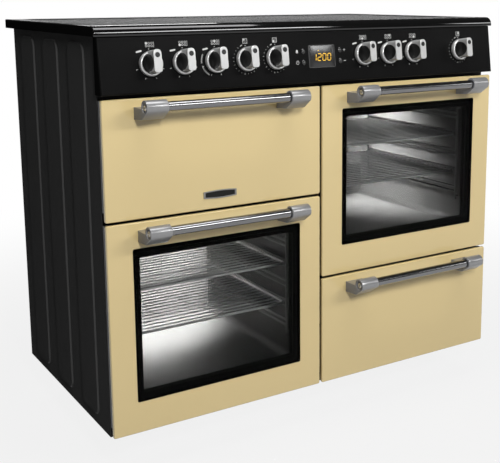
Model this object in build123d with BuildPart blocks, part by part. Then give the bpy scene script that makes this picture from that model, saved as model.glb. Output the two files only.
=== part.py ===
from build123d import *
import os
from math import hypot

os.makedirs("parts", exist_ok=True)

# Electric range cooker, freestanding, 1000 mm wide: two ovens, a grill, a storage drawer
# and a ceramic hob. Millimetres, +Z up, the doors face -Y, the floor is Z = 0.

# Overall sizes
HOB_WIDTH = 1000.0
HOB_DEPTH = 583.0
HOB_FRAME_HEIGHT = 20.0
HOB_OVERHANG = -6.0
HOB_ROUND = 17.0
HOB_EDGE = 2.5
BODY_WIDTH = 988.0
BODY_BACK = 552.0
LEG_HEIGHT = 81.0

# Door and drawer layout
DOOR_LIFT = 7.0
COLUMN_GAP = 6.0
ROW_GAP = 5.5
GRILL_DOOR_HEIGHT = 235.0
MAIN_DOOR_HEIGHT = 434.0
DRAWER_FRONT_HEIGHT = 244.0
FASCIA_GAP = 8.0

# Sheet metal
SHEET = 1.5
FRAME_THICKNESS = 2.0
FLANGE = 18.0
FRAME_SETBACK = 27.5
RIB_RAISE = 3.0
RIB_WIDTH = 93.0
RIB_PITCH = 157.0
RIB_FIRST = 132.0
RIB_CORNER = 22.0

# Doors
DOOR_DEPTH = 21.5
SKIN_DEPTH = 6.0
SKIN_CORNER = 4.0
LINER_SHEET = 1.2
LINER_RISE = 17.0
LINER_GAP = 1.0
WINDOW_SIDE = 53.5
WINDOW_BOTTOM = 66.0
WINDOW_TOP = 56.5
WINDOW_BORDER = 15.0
PANE_THICKNESS = 4.0
PANE_LAP = 8.0

# Door hinges
HINGE_BACK = 10.0
HINGE_UP = 10.0
HINGE_INSET = 40.0
PIN_RADIUS = 3.0
PIN_LENGTH = 18.0
RUNNING_CLEARANCE = 0.05
ARM_WIDTH = 6.0
ARM_EYE = 5.0
EAR_WIDTH = 5.0
EAR_RADIUS = 6.5
EAR_GAP = 0.5

# Handles
HANDLE_LENGTH = 362.0
MOUNT_LENGTH = 45.0
MOUNT_RADIUS = 14.0
BAR_RADIUS = 9.5
BAR_STANDOFF = 50.0
BAR_DROP = 13.0
MOUNT_FOOT = 24.0
MOUNT_FOOT_DROP = 3.0

# Fascia, knobs and timer
FASCIA_HEIGHT = 108.9
FASCIA_FRONT = 5.0
FASCIA_LEAN = 15.0
FASCIA_SHEET = 2.0
HOB_JOINT = 0.6
KNOB_RADIUS = 24.0
KNOB_LIFT = 1.0
KNOB_SKIRT = 10.0
KNOB_DISH = 6.0
GRIP_WIDTH = 16.0
GRIP_UP = 25.0
GRIP_DOWN = 18.0
GRIP_HEIGHT = 38.0
KNOB_PITCH = 70.0
KNOB_FIRST = 112.0
KNOB_RISE = 56.0
SPINDLE_RADIUS = 3.0
SWITCH_SIZE = 36.0
SWITCH_DEPTH = 30.0
TIMER_X = 3.0
TIMER_WIDTH = 64.0
TIMER_HEIGHT = 45.0
BUTTON_RADIUS = 5.5
BUTTON_X = 47.0
BUTTON_UP = 11.6
BUTTON_PROUD = 4.0
BUTTON_TRAVEL = 1.5

# Ovens
CAVITY_SIDE = 46.0
CAVITY_BOTTOM = 56.0
CAVITY_TOP = 44.0
GRILL_BOTTOM = 32.0
GRILL_TOP = 28.0
CAVITY_DEPTH = 430.0
CAVITY_CORNER = 15.0
CAVITY_FLANGE = 15.0
SEAL_WIDTH = 8.0
SEAL_INSET = 4.0
SEAL_GAP = 0.3
RACK_FIRST = 78.0
RACK_PITCH = 46.0
RACK_LEVELS = 5
RACK_PAIR = 12.0
RACK_STAND = 10.0
RACK_WIRE = 2.0
RACK_UPRIGHT = 2.6
SHELF_ROD = 3.0
SHELF_WIRE = 1.5
SHELF_WIRES = 18
ELEMENT_ROD = 3.5
FAN_RADIUS = 70.0
FAN_COVER = 230.0

# Places worked out from the sizes above
FACE = BAR_STANDOFF + MOUNT_RADIUS - (HOB_DEPTH - HOB_OVERHANG + BAR_STANDOFF + MOUNT_RADIUS) / 2
COLUMN = (BODY_WIDTH - COLUMN_GAP) / 2
LEFT_X = -(COLUMN + COLUMN_GAP) / 2
RIGHT_X = (COLUMN + COLUMN_GAP) / 2
MAIN_Z = LEG_HEIGHT + DOOR_LIFT
GRILL_Z = MAIN_Z + MAIN_DOOR_HEIGHT + ROW_GAP
DOOR_TOP = GRILL_Z + GRILL_DOOR_HEIGHT
RIGHT_Z = MAIN_Z + DRAWER_FRONT_HEIGHT + ROW_GAP
RIGHT_DOOR_HEIGHT = DOOR_TOP - RIGHT_Z
FASCIA_Z = DOOR_TOP + FASCIA_GAP
FASCIA_TOP = FASCIA_Z + FASCIA_HEIGHT
HOB_HEIGHT = FASCIA_TOP + HOB_JOINT + HOB_FRAME_HEIGHT
BODY_INSIDE = BODY_WIDTH / 2 - RIB_RAISE - SHEET
FRAME_BACK = FRAME_SETBACK + FRAME_THICKNESS
CAVITY_WIDTH = COLUMN - 2 * CAVITY_SIDE
CAVITY_BACK = FRAME_BACK + CAVITY_DEPTH
MAIN_FLOOR = MAIN_Z + CAVITY_BOTTOM
MAIN_ROOF = MAIN_Z + MAIN_DOOR_HEIGHT - CAVITY_TOP
RIGHT_FLOOR = RIGHT_Z + CAVITY_BOTTOM
RIGHT_ROOF = DOOR_TOP - CAVITY_TOP
GRILL_FLOOR = GRILL_Z + GRILL_BOTTOM
GRILL_ROOF = DOOR_TOP - GRILL_TOP
FAN_Z = (RIGHT_FLOOR + RIGHT_ROOF) / 2
HINGE_X = COLUMN / 2 - HINGE_INSET


def face_plane(depth):
    # Upright plane at a depth behind the door faces, looking to the front
    return Plane(origin=(0, FACE + depth, 0), x_dir=(1, 0, 0), z_dir=(0, -1, 0))


def side_plane(x):
    # Upright plane across the cooker, looking to the right
    return Plane(origin=(x, FACE, 0), x_dir=(0, 1, 0), z_dir=(1, 0, 0))


def level_plane(z):
    # Level plane with its origin on the line of the door faces
    return Plane(origin=(0, FACE, z))


# The control panel leans back, so its items are placed on the panel's own outer face
FASCIA_LENGTH = hypot(FASCIA_LEAN, FASCIA_HEIGHT)
FASCIA_OUT = (0, -FASCIA_HEIGHT / FASCIA_LENGTH, FASCIA_LEAN / FASCIA_LENGTH)


def fascia_plane(out):
    # Plane along the control panel, at a distance out from its face
    base = Plane(origin=(0, FACE - FASCIA_FRONT, FASCIA_Z), x_dir=(1, 0, 0), z_dir=FASCIA_OUT)
    return base.offset(out)


def block(x, depth, z, mode=Mode.ADD):
    # Box between two x values, two depths behind the door faces and two heights
    middle = ((x[0] + x[1]) / 2, FACE + (depth[0] + depth[1]) / 2, (z[0] + z[1]) / 2)
    with Locations(middle):
        Box(x[1] - x[0], depth[1] - depth[0], z[1] - z[0], mode=mode)


def hand_in(part, name):
    part.label = name
    export_step(part, "parts/" + name + ".step")


# Base tray, the floor of the cabinet
with BuildPart() as base_tray:
    block((-BODY_INSIDE, BODY_INSIDE), (FRAME_BACK, BODY_BACK - SHEET), (LEG_HEIGHT, LEG_HEIGHT + SHEET))
    block(
        (-BODY_INSIDE, BODY_INSIDE),
        (FRAME_BACK, FRAME_BACK + SHEET),
        (LEG_HEIGHT, LEG_HEIGHT + FLANGE),
    )
    block(
        (-BODY_INSIDE, BODY_INSIDE),
        (BODY_BACK - 2 * SHEET, BODY_BACK - SHEET),
        (LEG_HEIGHT, LEG_HEIGHT + FLANGE),
    )
hand_in(base_tray.part, "base_tray")

# Side panels, pressed sheet with three upright ribs and turned-in edges
SIDE_TOP = HOB_HEIGHT - FRAME_THICKNESS
EDGE_BOTTOM = LEG_HEIGHT + FLANGE + SHEET
EDGE_TOP = HOB_HEIGHT - HOB_FRAME_HEIGHT - 2 * FLANGE
RIB_BOTTOM = LEG_HEIGHT + 20
RIB_HEIGHT = HOB_HEIGHT - HOB_FRAME_HEIGHT - 14 - RIB_BOTTOM
SCREW_X = BODY_INSIDE - FLANGE / 2
SCREW_RADIUS = 2.0
SCREW_Z = [EDGE_BOTTOM + 20 + i * (EDGE_TOP - EDGE_BOTTOM - 40) / 4 for i in range(5)]
RIB_PLACES = [(RIB_FIRST + i * RIB_PITCH, RIB_BOTTOM + RIB_HEIGHT / 2) for i in range(3)]

with BuildPart() as side_panel_right:
    block((BODY_INSIDE, BODY_INSIDE + SHEET), (FRAME_SETBACK, BODY_BACK), (LEG_HEIGHT, SIDE_TOP))
    block(
        (BODY_INSIDE - FLANGE, BODY_INSIDE),
        (FRAME_BACK, FRAME_BACK + SHEET),
        (EDGE_BOTTOM, EDGE_TOP),
    )
    block(
        (BODY_INSIDE - FLANGE, BODY_INSIDE),
        (BODY_BACK - 2 * SHEET, BODY_BACK - SHEET),
        (EDGE_BOTTOM, EDGE_TOP),
    )
    with BuildSketch(side_plane(BODY_INSIDE + SHEET)):
        with Locations(*RIB_PLACES):
            RectangleRounded(RIB_WIDTH, RIB_HEIGHT, RIB_CORNER)
    extrude(amount=RIB_RAISE, taper=45)
    with BuildSketch(side_plane(BODY_INSIDE)):
        with Locations(*RIB_PLACES):
            RectangleRounded(RIB_WIDTH - SHEET, RIB_HEIGHT - SHEET, RIB_CORNER - SHEET / 2)
    extrude(amount=RIB_RAISE, taper=45, mode=Mode.SUBTRACT)
    with BuildSketch(face_plane(BODY_BACK)):
        with Locations(*[(SCREW_X, z) for z in SCREW_Z]):
            Circle(SCREW_RADIUS + 0.2)
    extrude(amount=3 * SHEET, mode=Mode.SUBTRACT)
hand_in(side_panel_right.part, "side_panel_right")

with BuildPart() as side_panel_left:
    add(mirror(side_panel_right.part, about=Plane.YZ))
hand_in(side_panel_left.part, "side_panel_left")

# Back panel, a flat sheet with rows of vent slots
BACK_TOP = HOB_HEIGHT - HOB_FRAME_HEIGHT
VENT_DROP = 90.0
VENT_RISE = 120.0
with BuildPart() as back_panel:
    block((-BODY_INSIDE, BODY_INSIDE), (BODY_BACK - SHEET, BODY_BACK), (LEG_HEIGHT, BACK_TOP))
    with BuildSketch(face_plane(BODY_BACK)):
        with Locations((0, BACK_TOP - VENT_DROP), (0, LEG_HEIGHT + VENT_RISE)):
            with GridLocations(90, 14, 8, 5):
                SlotOverall(60, 5)
    extrude(amount=2 * SHEET, mode=Mode.SUBTRACT)
    with BuildSketch(face_plane(BODY_BACK)):
        with Locations(*[(side * SCREW_X, z) for z in SCREW_Z for side in (-1, 1)]):
            Circle(SCREW_RADIUS + 0.2)
    extrude(amount=2 * SHEET, mode=Mode.SUBTRACT)
hand_in(back_panel.part, "back_panel")

# Cabinet screws, pan heads along both edges of the back panel
with BuildPart() as cabinet_screws:
    with BuildSketch(face_plane(BODY_BACK)):
        with Locations(*[(side * SCREW_X, z) for z in SCREW_Z for side in (-1, 1)]):
            Circle(2 * SCREW_RADIUS)
    extrude(amount=-1.2 * SCREW_RADIUS)
    with BuildSketch(face_plane(BODY_BACK)):
        with Locations(*[(side * SCREW_X, z) for z in SCREW_Z for side in (-1, 1)]):
            Circle(SCREW_RADIUS)
    extrude(amount=5 * SHEET)
    with BuildSketch(face_plane(BODY_BACK + 1.2 * SCREW_RADIUS)):
        with Locations(*[(side * SCREW_X, z) for z in SCREW_Z for side in (-1, 1)]):
            Rectangle(2.4 * SCREW_RADIUS, 0.4 * SCREW_RADIUS)
            Rectangle(0.4 * SCREW_RADIUS, 2.4 * SCREW_RADIUS)
    extrude(amount=0.6 * SCREW_RADIUS, mode=Mode.SUBTRACT)
hand_in(cabinet_screws.part, "cabinet_screws")

# Front frame, the plate behind the doors with the four mouths
FRAME_TOP = FASCIA_Z + 12
MOUTH_Z = (MAIN_Z + 12, MAIN_Z + DRAWER_FRONT_HEIGHT - 14)
MOUTH_X = (RIGHT_X - COLUMN / 2 + 9, RIGHT_X + COLUMN / 2 - 9)
MOUTHS = [
    (LEFT_X, MAIN_FLOOR, MAIN_ROOF),
    (LEFT_X, GRILL_FLOOR, GRILL_ROOF),
    (RIGHT_X, RIGHT_FLOOR, RIGHT_ROOF),
]
with BuildPart() as front_frame:
    block((-BODY_INSIDE, BODY_INSIDE), (FRAME_SETBACK, FRAME_BACK), (LEG_HEIGHT, FRAME_TOP))
    for centre, floor, roof in MOUTHS:
        with BuildSketch(face_plane(FRAME_SETBACK)):
            with Locations((centre, (floor + roof) / 2)):
                RectangleRounded(CAVITY_WIDTH, roof - floor, CAVITY_CORNER)
        extrude(amount=-FRAME_THICKNESS, mode=Mode.SUBTRACT)
    block(MOUTH_X, (FRAME_SETBACK, FRAME_BACK), MOUTH_Z, mode=Mode.SUBTRACT)
hand_in(front_frame.part, "front_frame")

# Centre partition between the two columns
with BuildPart() as centre_partition:
    block(
        (-SHEET / 2, SHEET / 2),
        (FRAME_BACK + SHEET, BODY_BACK - 2 * SHEET),
        (LEG_HEIGHT + SHEET, FRAME_TOP),
    )
    block((-SHEET / 2, FLANGE), (FRAME_BACK, FRAME_BACK + SHEET), (EDGE_BOTTOM, FRAME_TOP))
    block(
        (-SHEET / 2, FLANGE),
        (BODY_BACK - 2 * SHEET, BODY_BACK - SHEET),
        (EDGE_BOTTOM, FRAME_TOP),
    )
hand_in(centre_partition.part, "centre_partition")

# Levelling feet, screwed up under the base and locked with a hexagon nut
FOOT_X = BODY_WIDTH / 2 - 95
FOOT_FRONT = 205.0
FOOT_REAR = 490.0
FOOT_PLACES = [(side * FOOT_X, depth) for side in (-1, 1) for depth in (FOOT_FRONT, FOOT_REAR)]
with BuildPart() as levelling_feet:
    with BuildSketch(level_plane(0)):
        with Locations(*FOOT_PLACES):
            Circle(22)
    extrude(amount=10, taper=12)
    with BuildSketch(level_plane(0)):
        with Locations(*FOOT_PLACES):
            Circle(8)
    extrude(amount=LEG_HEIGHT)
    with BuildSketch(level_plane(LEG_HEIGHT)):
        with Locations(*FOOT_PLACES):
            RegularPolygon(radius=16, side_count=6)
    extrude(amount=-9)
hand_in(levelling_feet.part, "levelling_feet")

# Hob frame, an enamelled pressing with a deep rounded front, hollow below, with a ledge for the glass
GLASS_WIDTH = HOB_WIDTH - 60
GLASS_DEPTH = HOB_DEPTH - 80
HOB_MIDDLE = HOB_DEPTH / 2 - HOB_OVERHANG
HOB_UNDER = HOB_HEIGHT - HOB_FRAME_HEIGHT
GLASS_THICKNESS = 4.0
GLASS_TOP = HOB_HEIGHT - 1.0
LEDGE_TOP = GLASS_TOP - GLASS_THICKNESS
LEDGE_BOTTOM = LEDGE_TOP - FRAME_THICKNESS
HOB_WALL = 3.0
HOB_RIM = 8.0
HOB_FRONT_WALL = 7.0
HOB_FRONT_RIM = HOB_ROUND + 3
with BuildPart() as hob_frame:
    block(
        (-HOB_WIDTH / 2, HOB_WIDTH / 2),
        (-HOB_OVERHANG, HOB_DEPTH - HOB_OVERHANG),
        (HOB_UNDER, HOB_HEIGHT),
    )
    top_edges = hob_frame.edges().filter_by(Axis.X).group_by(Axis.Z)[-1].sort_by(Axis.Y)
    fillet(top_edges[0], radius=HOB_ROUND)
    end_edges = hob_frame.faces().filter_by(Axis.X).edges()
    rims = [edge for edge in end_edges if edge.center().Z > HOB_UNDER + 1]
    rims.append(hob_frame.edges().filter_by(Axis.X).group_by(Axis.Z)[-1].sort_by(Axis.Y)[-1])
    fillet(rims, radius=HOB_EDGE)
    with BuildSketch(level_plane(HOB_UNDER)):
        with Locations((0, HOB_MIDDLE + (HOB_FRONT_WALL - HOB_WALL) / 2)):
            RectangleRounded(HOB_WIDTH - 2 * HOB_WALL, HOB_DEPTH - HOB_FRONT_WALL - HOB_WALL, 7)
    extrude(amount=LEDGE_BOTTOM - HOB_UNDER, mode=Mode.SUBTRACT)
    with BuildSketch(level_plane(LEDGE_BOTTOM)):
        with Locations((0, HOB_MIDDLE + (HOB_FRONT_RIM - HOB_RIM) / 2)):
            RectangleRounded(HOB_WIDTH - 2 * HOB_RIM, HOB_DEPTH - HOB_FRONT_RIM - HOB_RIM, 3)
        with Locations((0, HOB_MIDDLE)):
            Rectangle(GLASS_WIDTH + 5, GLASS_DEPTH + 5, mode=Mode.SUBTRACT)
    extrude(amount=HOB_HEIGHT - FRAME_THICKNESS - LEDGE_BOTTOM, mode=Mode.SUBTRACT)
    with BuildSketch(level_plane(LEDGE_TOP)):
        with Locations((0, HOB_MIDDLE)):
            RectangleRounded(GLASS_WIDTH + 0.6, GLASS_DEPTH + 0.6, 6)
    extrude(amount=2 * GLASS_THICKNESS, mode=Mode.SUBTRACT)
    with BuildSketch(level_plane(LEDGE_BOTTOM)):
        with Locations((0, HOB_MIDDLE)):
            RectangleRounded(GLASS_WIDTH - 24, GLASS_DEPTH - 24, 6)
    extrude(amount=2 * FRAME_THICKNESS, mode=Mode.SUBTRACT)
hand_in(hob_frame.part, "hob_frame")

# Ceramic hob glass, one flat sheet on the ledge
with BuildPart() as hob_glass:
    with BuildSketch(level_plane(LEDGE_TOP)):
        with Locations((0, HOB_MIDDLE)):
            RectangleRounded(GLASS_WIDTH, GLASS_DEPTH, 6)
    extrude(amount=GLASS_THICKNESS)
hand_in(hob_glass.part, "hob_glass")

# Radiant heaters, six round pans pressed up against the glass by four cross rails
HEATER_X = GLASS_WIDTH / 3
HEATER_ROW = GLASS_DEPTH / 4
HEATER_HEIGHT = 36.0
HEATERS = [
    (-HEATER_X, -HEATER_ROW, 90.0),
    (0, -HEATER_ROW, 72.5),
    (HEATER_X, -HEATER_ROW, 72.5),
    (-HEATER_X, HEATER_ROW, 72.5),
    (0, HEATER_ROW, 105.0),
    (HEATER_X, HEATER_ROW, 90.0),
]
with BuildPart() as radiant_heaters:
    for x, row, radius in HEATERS:
        with BuildSketch(level_plane(LEDGE_TOP)):
            with Locations((x, HOB_MIDDLE + row)):
                Circle(radius)
        extrude(amount=-HEATER_HEIGHT)
        with BuildSketch(level_plane(LEDGE_TOP)):
            with Locations((x, HOB_MIDDLE + row)):
                Circle(radius - 10)
        extrude(amount=4 - HEATER_HEIGHT, mode=Mode.SUBTRACT)
    for row in (-HEATER_ROW - 45, -HEATER_ROW + 45, HEATER_ROW - 45, HEATER_ROW + 45):
        block(
            (-BODY_INSIDE, BODY_INSIDE),
            (HOB_MIDDLE + row - 8, HOB_MIDDLE + row + 8),
            (LEDGE_TOP - HEATER_HEIGHT - 2 * SHEET, LEDGE_TOP - HEATER_HEIGHT - 0.1),
        )
hand_in(radiant_heaters.part, "radiant_heaters")

# Control panel, a leaning pressing open at the back, holed for spindles, buttons and timer
KNOB_X = [-KNOB_FIRST - KNOB_PITCH * i for i in (4, 3, 2, 1, 0)]
KNOB_X += [KNOB_FIRST + KNOB_PITCH * i for i in (0, 1, 2, 4)]
KNOB_NAMES = [
    "hob_knob_1",
    "hob_knob_2",
    "hob_knob_3",
    "grill_knob",
    "main_oven_knob",
    "hob_knob_4",
    "hob_knob_5",
    "hob_knob_6",
    "right_oven_knob",
]
BUTTONS = [(TIMER_X + x * BUTTON_X, KNOB_RISE + z * BUTTON_UP) for x in (-1, 1) for z in (1, -1)]
LEAN_DEPTH = FASCIA_LEAN - FASCIA_FRONT
LEAN_WALL = FASCIA_SHEET * FASCIA_LENGTH / FASCIA_HEIGHT
LEAN_STEP = FASCIA_SHEET * FASCIA_LEAN / FASCIA_HEIGHT
with BuildPart() as control_fascia:
    with BuildSketch(side_plane(-BODY_WIDTH / 2)):
        with BuildLine():
            Polyline(
                (-FASCIA_FRONT, FASCIA_Z),
                (LEAN_DEPTH, FASCIA_TOP),
                (FRAME_SETBACK, FASCIA_TOP),
                (FRAME_SETBACK, FASCIA_Z),
                close=True,
            )
        make_face()
    extrude(amount=BODY_WIDTH)
    fillet(control_fascia.faces().sort_by(Axis.Y)[0].edges(), radius=3)
    with BuildSketch(side_plane(-BODY_WIDTH / 2 + FASCIA_SHEET)):
        with BuildLine():
            Polyline(
                (LEAN_WALL + LEAN_STEP - FASCIA_FRONT, FASCIA_Z + FASCIA_SHEET),
                (LEAN_DEPTH + LEAN_WALL - LEAN_STEP, FASCIA_TOP - FASCIA_SHEET),
                (FRAME_SETBACK, FASCIA_TOP - FASCIA_SHEET),
                (FRAME_SETBACK, FASCIA_Z + FASCIA_SHEET),
                close=True,
            )
        make_face()
    extrude(amount=BODY_WIDTH - 2 * FASCIA_SHEET, mode=Mode.SUBTRACT)
    with BuildSketch(fascia_plane(1)):
        with Locations(*[(x, KNOB_RISE) for x in KNOB_X]):
            Circle(SPINDLE_RADIUS + 2)
        with Locations(*BUTTONS):
            Circle(BUTTON_RADIUS + 0.3)
        with Locations((TIMER_X, KNOB_RISE)):
            RectangleRounded(TIMER_WIDTH + 0.4, TIMER_HEIGHT + 0.4, 3)
    extrude(amount=-2 * FASCIA_SHEET, mode=Mode.SUBTRACT)
hand_in(control_fascia.part, "control_fascia")

# Rotary switches behind the panel, one for each knob
with BuildPart() as control_switches:
    with BuildSketch(fascia_plane(-FASCIA_SHEET)):
        with Locations(*[(x, KNOB_RISE) for x in KNOB_X]):
            RectangleRounded(SWITCH_SIZE, SWITCH_SIZE, 3)
    extrude(amount=-SWITCH_DEPTH)
    with BuildSketch(fascia_plane(-FASCIA_SHEET)):
        with Locations(*[(x, KNOB_RISE) for x in KNOB_X]):
            Circle(SPINDLE_RADIUS + RUNNING_CLEARANCE)
    extrude(amount=-SWITCH_DEPTH / 2, mode=Mode.SUBTRACT)
hand_in(control_switches.part, "control_switches")


# Control knob: round skirt with a dished middle, a raised grip bar and the spindle it turns
def control_knob(x):
    with BuildPart() as knob:
        with BuildSketch(fascia_plane(KNOB_LIFT)):
            with Locations((x, KNOB_RISE)):
                Circle(KNOB_RADIUS)
        extrude(amount=KNOB_SKIRT, taper=8)
        fillet(knob.edges().filter_by(GeomType.CIRCLE).group_by(SortBy.RADIUS)[0], radius=1.5)
        with BuildSketch(fascia_plane(KNOB_LIFT + KNOB_SKIRT)):
            with Locations((x, KNOB_RISE)):
                Circle(KNOB_RADIUS - 5)
        extrude(amount=-KNOB_DISH, taper=20, mode=Mode.SUBTRACT)
        with BuildSketch(fascia_plane(KNOB_LIFT + KNOB_SKIRT - KNOB_DISH)):
            with Locations((x, KNOB_RISE + (GRIP_UP - GRIP_DOWN) / 2)):
                RectangleRounded(GRIP_WIDTH, GRIP_UP + GRIP_DOWN, GRIP_WIDTH / 2 - 1)
        extrude(amount=GRIP_HEIGHT - KNOB_SKIRT + KNOB_DISH)
        front = knob.faces().filter_by(GeomType.PLANE).sort_by(Axis.Y)[0]
        fillet(front.edges(), radius=1.5)
        with BuildSketch(fascia_plane(KNOB_LIFT)):
            with Locations((x, KNOB_RISE)):
                Circle(SPINDLE_RADIUS + RUNNING_CLEARANCE)
        extrude(amount=GRIP_HEIGHT / 2, mode=Mode.SUBTRACT)
    return knob.part


def control_spindle(x):
    with BuildPart() as spindle:
        with BuildSketch(fascia_plane(KNOB_LIFT + GRIP_HEIGHT / 2 - 0.2)):
            with Locations((x, KNOB_RISE)):
                Circle(SPINDLE_RADIUS)
        extrude(amount=-(KNOB_LIFT + GRIP_HEIGHT / 2 + FASCIA_SHEET + SWITCH_DEPTH / 2 - 1))
    return spindle.part


for knob_name, knob_x in zip(KNOB_NAMES, KNOB_X):
    with BuildPart() as knob_group:
        add(control_knob(knob_x))
        add(control_spindle(knob_x))
    hand_in(knob_group.part, knob_name)

# Timer lens, a dark glass set in the panel
LENS_THICKNESS = 3.0
LENS_PROUD = 0.5
with BuildPart() as timer_lens:
    with BuildSketch(fascia_plane(LENS_PROUD)):
        with Locations((TIMER_X, KNOB_RISE)):
            RectangleRounded(TIMER_WIDTH, TIMER_HEIGHT, 2.8)
    extrude(amount=-LENS_THICKNESS)
hand_in(timer_lens.part, "timer_lens")

# Timer module, the clock body behind the panel with a raised middle that carries the lens
BUTTON_FLANGE = 1.5
MODULE_FRONT = -FASCIA_SHEET - 0.3 - BUTTON_FLANGE - BUTTON_TRAVEL - 1.0
with BuildPart() as timer_module:
    with BuildSketch(fascia_plane(MODULE_FRONT)):
        with Locations((TIMER_X, KNOB_RISE)):
            RectangleRounded(2 * BUTTON_X + 26, TIMER_HEIGHT + 14, 3)
    extrude(amount=-22)
    with BuildSketch(fascia_plane(MODULE_FRONT)):
        with Locations((TIMER_X, KNOB_RISE)):
            Rectangle(TIMER_WIDTH - 2, TIMER_HEIGHT - 2)
    extrude(amount=LENS_PROUD - LENS_THICKNESS - MODULE_FRONT)
hand_in(timer_module.part, "timer_module")


# Timer push button with a flange that keeps it behind the panel
def timer_button(place):
    with BuildPart() as button:
        with BuildSketch(fascia_plane(-FASCIA_SHEET - 0.3)):
            with Locations(place):
                Circle(BUTTON_RADIUS)
        extrude(amount=FASCIA_SHEET + 0.3 + BUTTON_PROUD)
        front = button.faces().filter_by(GeomType.PLANE).sort_by(Axis.Y)[0]
        fillet(front.edges(), radius=1.5)
        with BuildSketch(fascia_plane(-FASCIA_SHEET - 0.3)):
            with Locations(place):
                Circle(BUTTON_RADIUS + 1.5)
        extrude(amount=-BUTTON_FLANGE)
    return button.part


for number, place in enumerate(BUTTONS, start=1):
    hand_in(timer_button(place), "timer_button_" + str(number))


# Oven liner: enamelled box with rounded corners, open to the front, with a fixing flange
def cavity(centre, floor, roof, holes):
    height = roof - floor
    middle = (floor + roof) / 2
    with BuildPart() as box:
        with BuildSketch(face_plane(FRAME_BACK)):
            with Locations((centre, middle)):
                RectangleRounded(CAVITY_WIDTH + 2 * SHEET, height + 2 * SHEET, CAVITY_CORNER + SHEET)
        extrude(amount=-CAVITY_DEPTH - SHEET)
        with BuildSketch(face_plane(FRAME_BACK)):
            with Locations((centre, middle)):
                RectangleRounded(
                    CAVITY_WIDTH + 2 * CAVITY_FLANGE,
                    height + 2 * CAVITY_FLANGE,
                    CAVITY_CORNER,
                )
        extrude(amount=-SHEET)
        with BuildSketch(face_plane(FRAME_BACK)):
            with Locations((centre, middle)):
                RectangleRounded(CAVITY_WIDTH, height, CAVITY_CORNER)
        extrude(amount=-CAVITY_DEPTH, mode=Mode.SUBTRACT)
        for hole_x, hole_z, radius in holes:
            with BuildSketch(face_plane(CAVITY_BACK)):
                with Locations((hole_x, hole_z)):
                    Circle(radius)
            extrude(amount=-2 * SHEET, mode=Mode.SUBTRACT)
    return box.part


# Where the heating elements come through the rear walls
ROD_HOLE = ELEMENT_ROD + 0.3
GRILL_ROD_Z = GRILL_ROOF - 24
MAIN_ROD_Z = MAIN_ROOF - 16
ROD_X = CAVITY_WIDTH * 0.375
RING_RADIUS = FAN_RADIUS + 18
RING_END = 12.0
grill_holes = [(LEFT_X + side * ROD_X, GRILL_ROD_Z, ROD_HOLE) for side in (-1, 1)]
main_holes = [(LEFT_X + side * ROD_X, MAIN_ROD_Z, ROD_HOLE) for side in (-1, 1)]
right_holes = [(RIGHT_X + side * RING_END, FAN_Z + RING_RADIUS, ROD_HOLE) for side in (-1, 1)]
right_holes.append((RIGHT_X, FAN_Z, 8.0))
hand_in(cavity(LEFT_X, GRILL_FLOOR, GRILL_ROOF, grill_holes), "grill_cavity")
hand_in(cavity(LEFT_X, MAIN_FLOOR, MAIN_ROOF, main_holes), "main_oven_cavity")
hand_in(cavity(RIGHT_X, RIGHT_FLOOR, RIGHT_ROOF, right_holes), "right_oven_cavity")


# Rod element bent to and fro under a roof, its two ends through the rear wall
def roof_element(centre, z, front):
    end = CAVITY_BACK + 20
    inner = ROD_X * 0.34
    with BuildPart() as rod:
        with BuildLine(level_plane(z)):
            FilletPolyline(
                (centre - ROD_X, end),
                (centre - ROD_X, front),
                (centre - inner, front),
                (centre - inner, front + CAVITY_DEPTH * 0.6),
                (centre + inner, front + CAVITY_DEPTH * 0.6),
                (centre + inner, front),
                (centre + ROD_X, front),
                (centre + ROD_X, end),
                radius=18,
            )
        with BuildSketch(face_plane(end)):
            with Locations((centre - ROD_X, z)):
                Circle(ELEMENT_ROD)
        sweep()
    return rod.part


# Ring element round the fan, its two ends through the rear wall
def ring_element():
    ring_depth = CAVITY_BACK - 16
    with BuildPart() as ring:
        with BuildSketch(face_plane(ring_depth)):
            with Locations((RIGHT_X, FAN_Z)):
                Circle(RING_RADIUS + ELEMENT_ROD)
                Circle(RING_RADIUS - ELEMENT_ROD, mode=Mode.SUBTRACT)
        extrude(amount=ELEMENT_ROD, both=True)
        fillet(ring.edges(), radius=ELEMENT_ROD * 0.95)
        with BuildSketch(face_plane(ring_depth)):
            with Locations(*[(RIGHT_X + side * RING_END, FAN_Z + RING_RADIUS) for side in (-1, 1)]):
                Circle(ELEMENT_ROD)
        extrude(amount=-36)
    return ring.part


with BuildPart() as heating_elements:
    add(roof_element(LEFT_X, GRILL_ROD_Z, FRAME_BACK + 60))
    add(roof_element(LEFT_X, MAIN_ROD_Z, FRAME_BACK + 60))
    add(ring_element())
    with Locations((LEFT_X, FACE + (FRAME_BACK + CAVITY_BACK) / 2, MAIN_FLOOR - SHEET)):
        Box(CAVITY_WIDTH * 0.7, CAVITY_DEPTH * 0.6, 8, align=(Align.CENTER, Align.CENTER, Align.MAX))
hand_in(heating_elements.part, "heating_elements")


# Side rack: two uprights, five pairs of runner wires and the pegs that fix it to the oven wall
RACK_FRONT = FRAME_BACK + 22
RACK_REAR = CAVITY_BACK - 46
RACK_TOP = RACK_FIRST + (RACK_LEVELS - 1) * RACK_PITCH + RACK_PAIR


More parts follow.
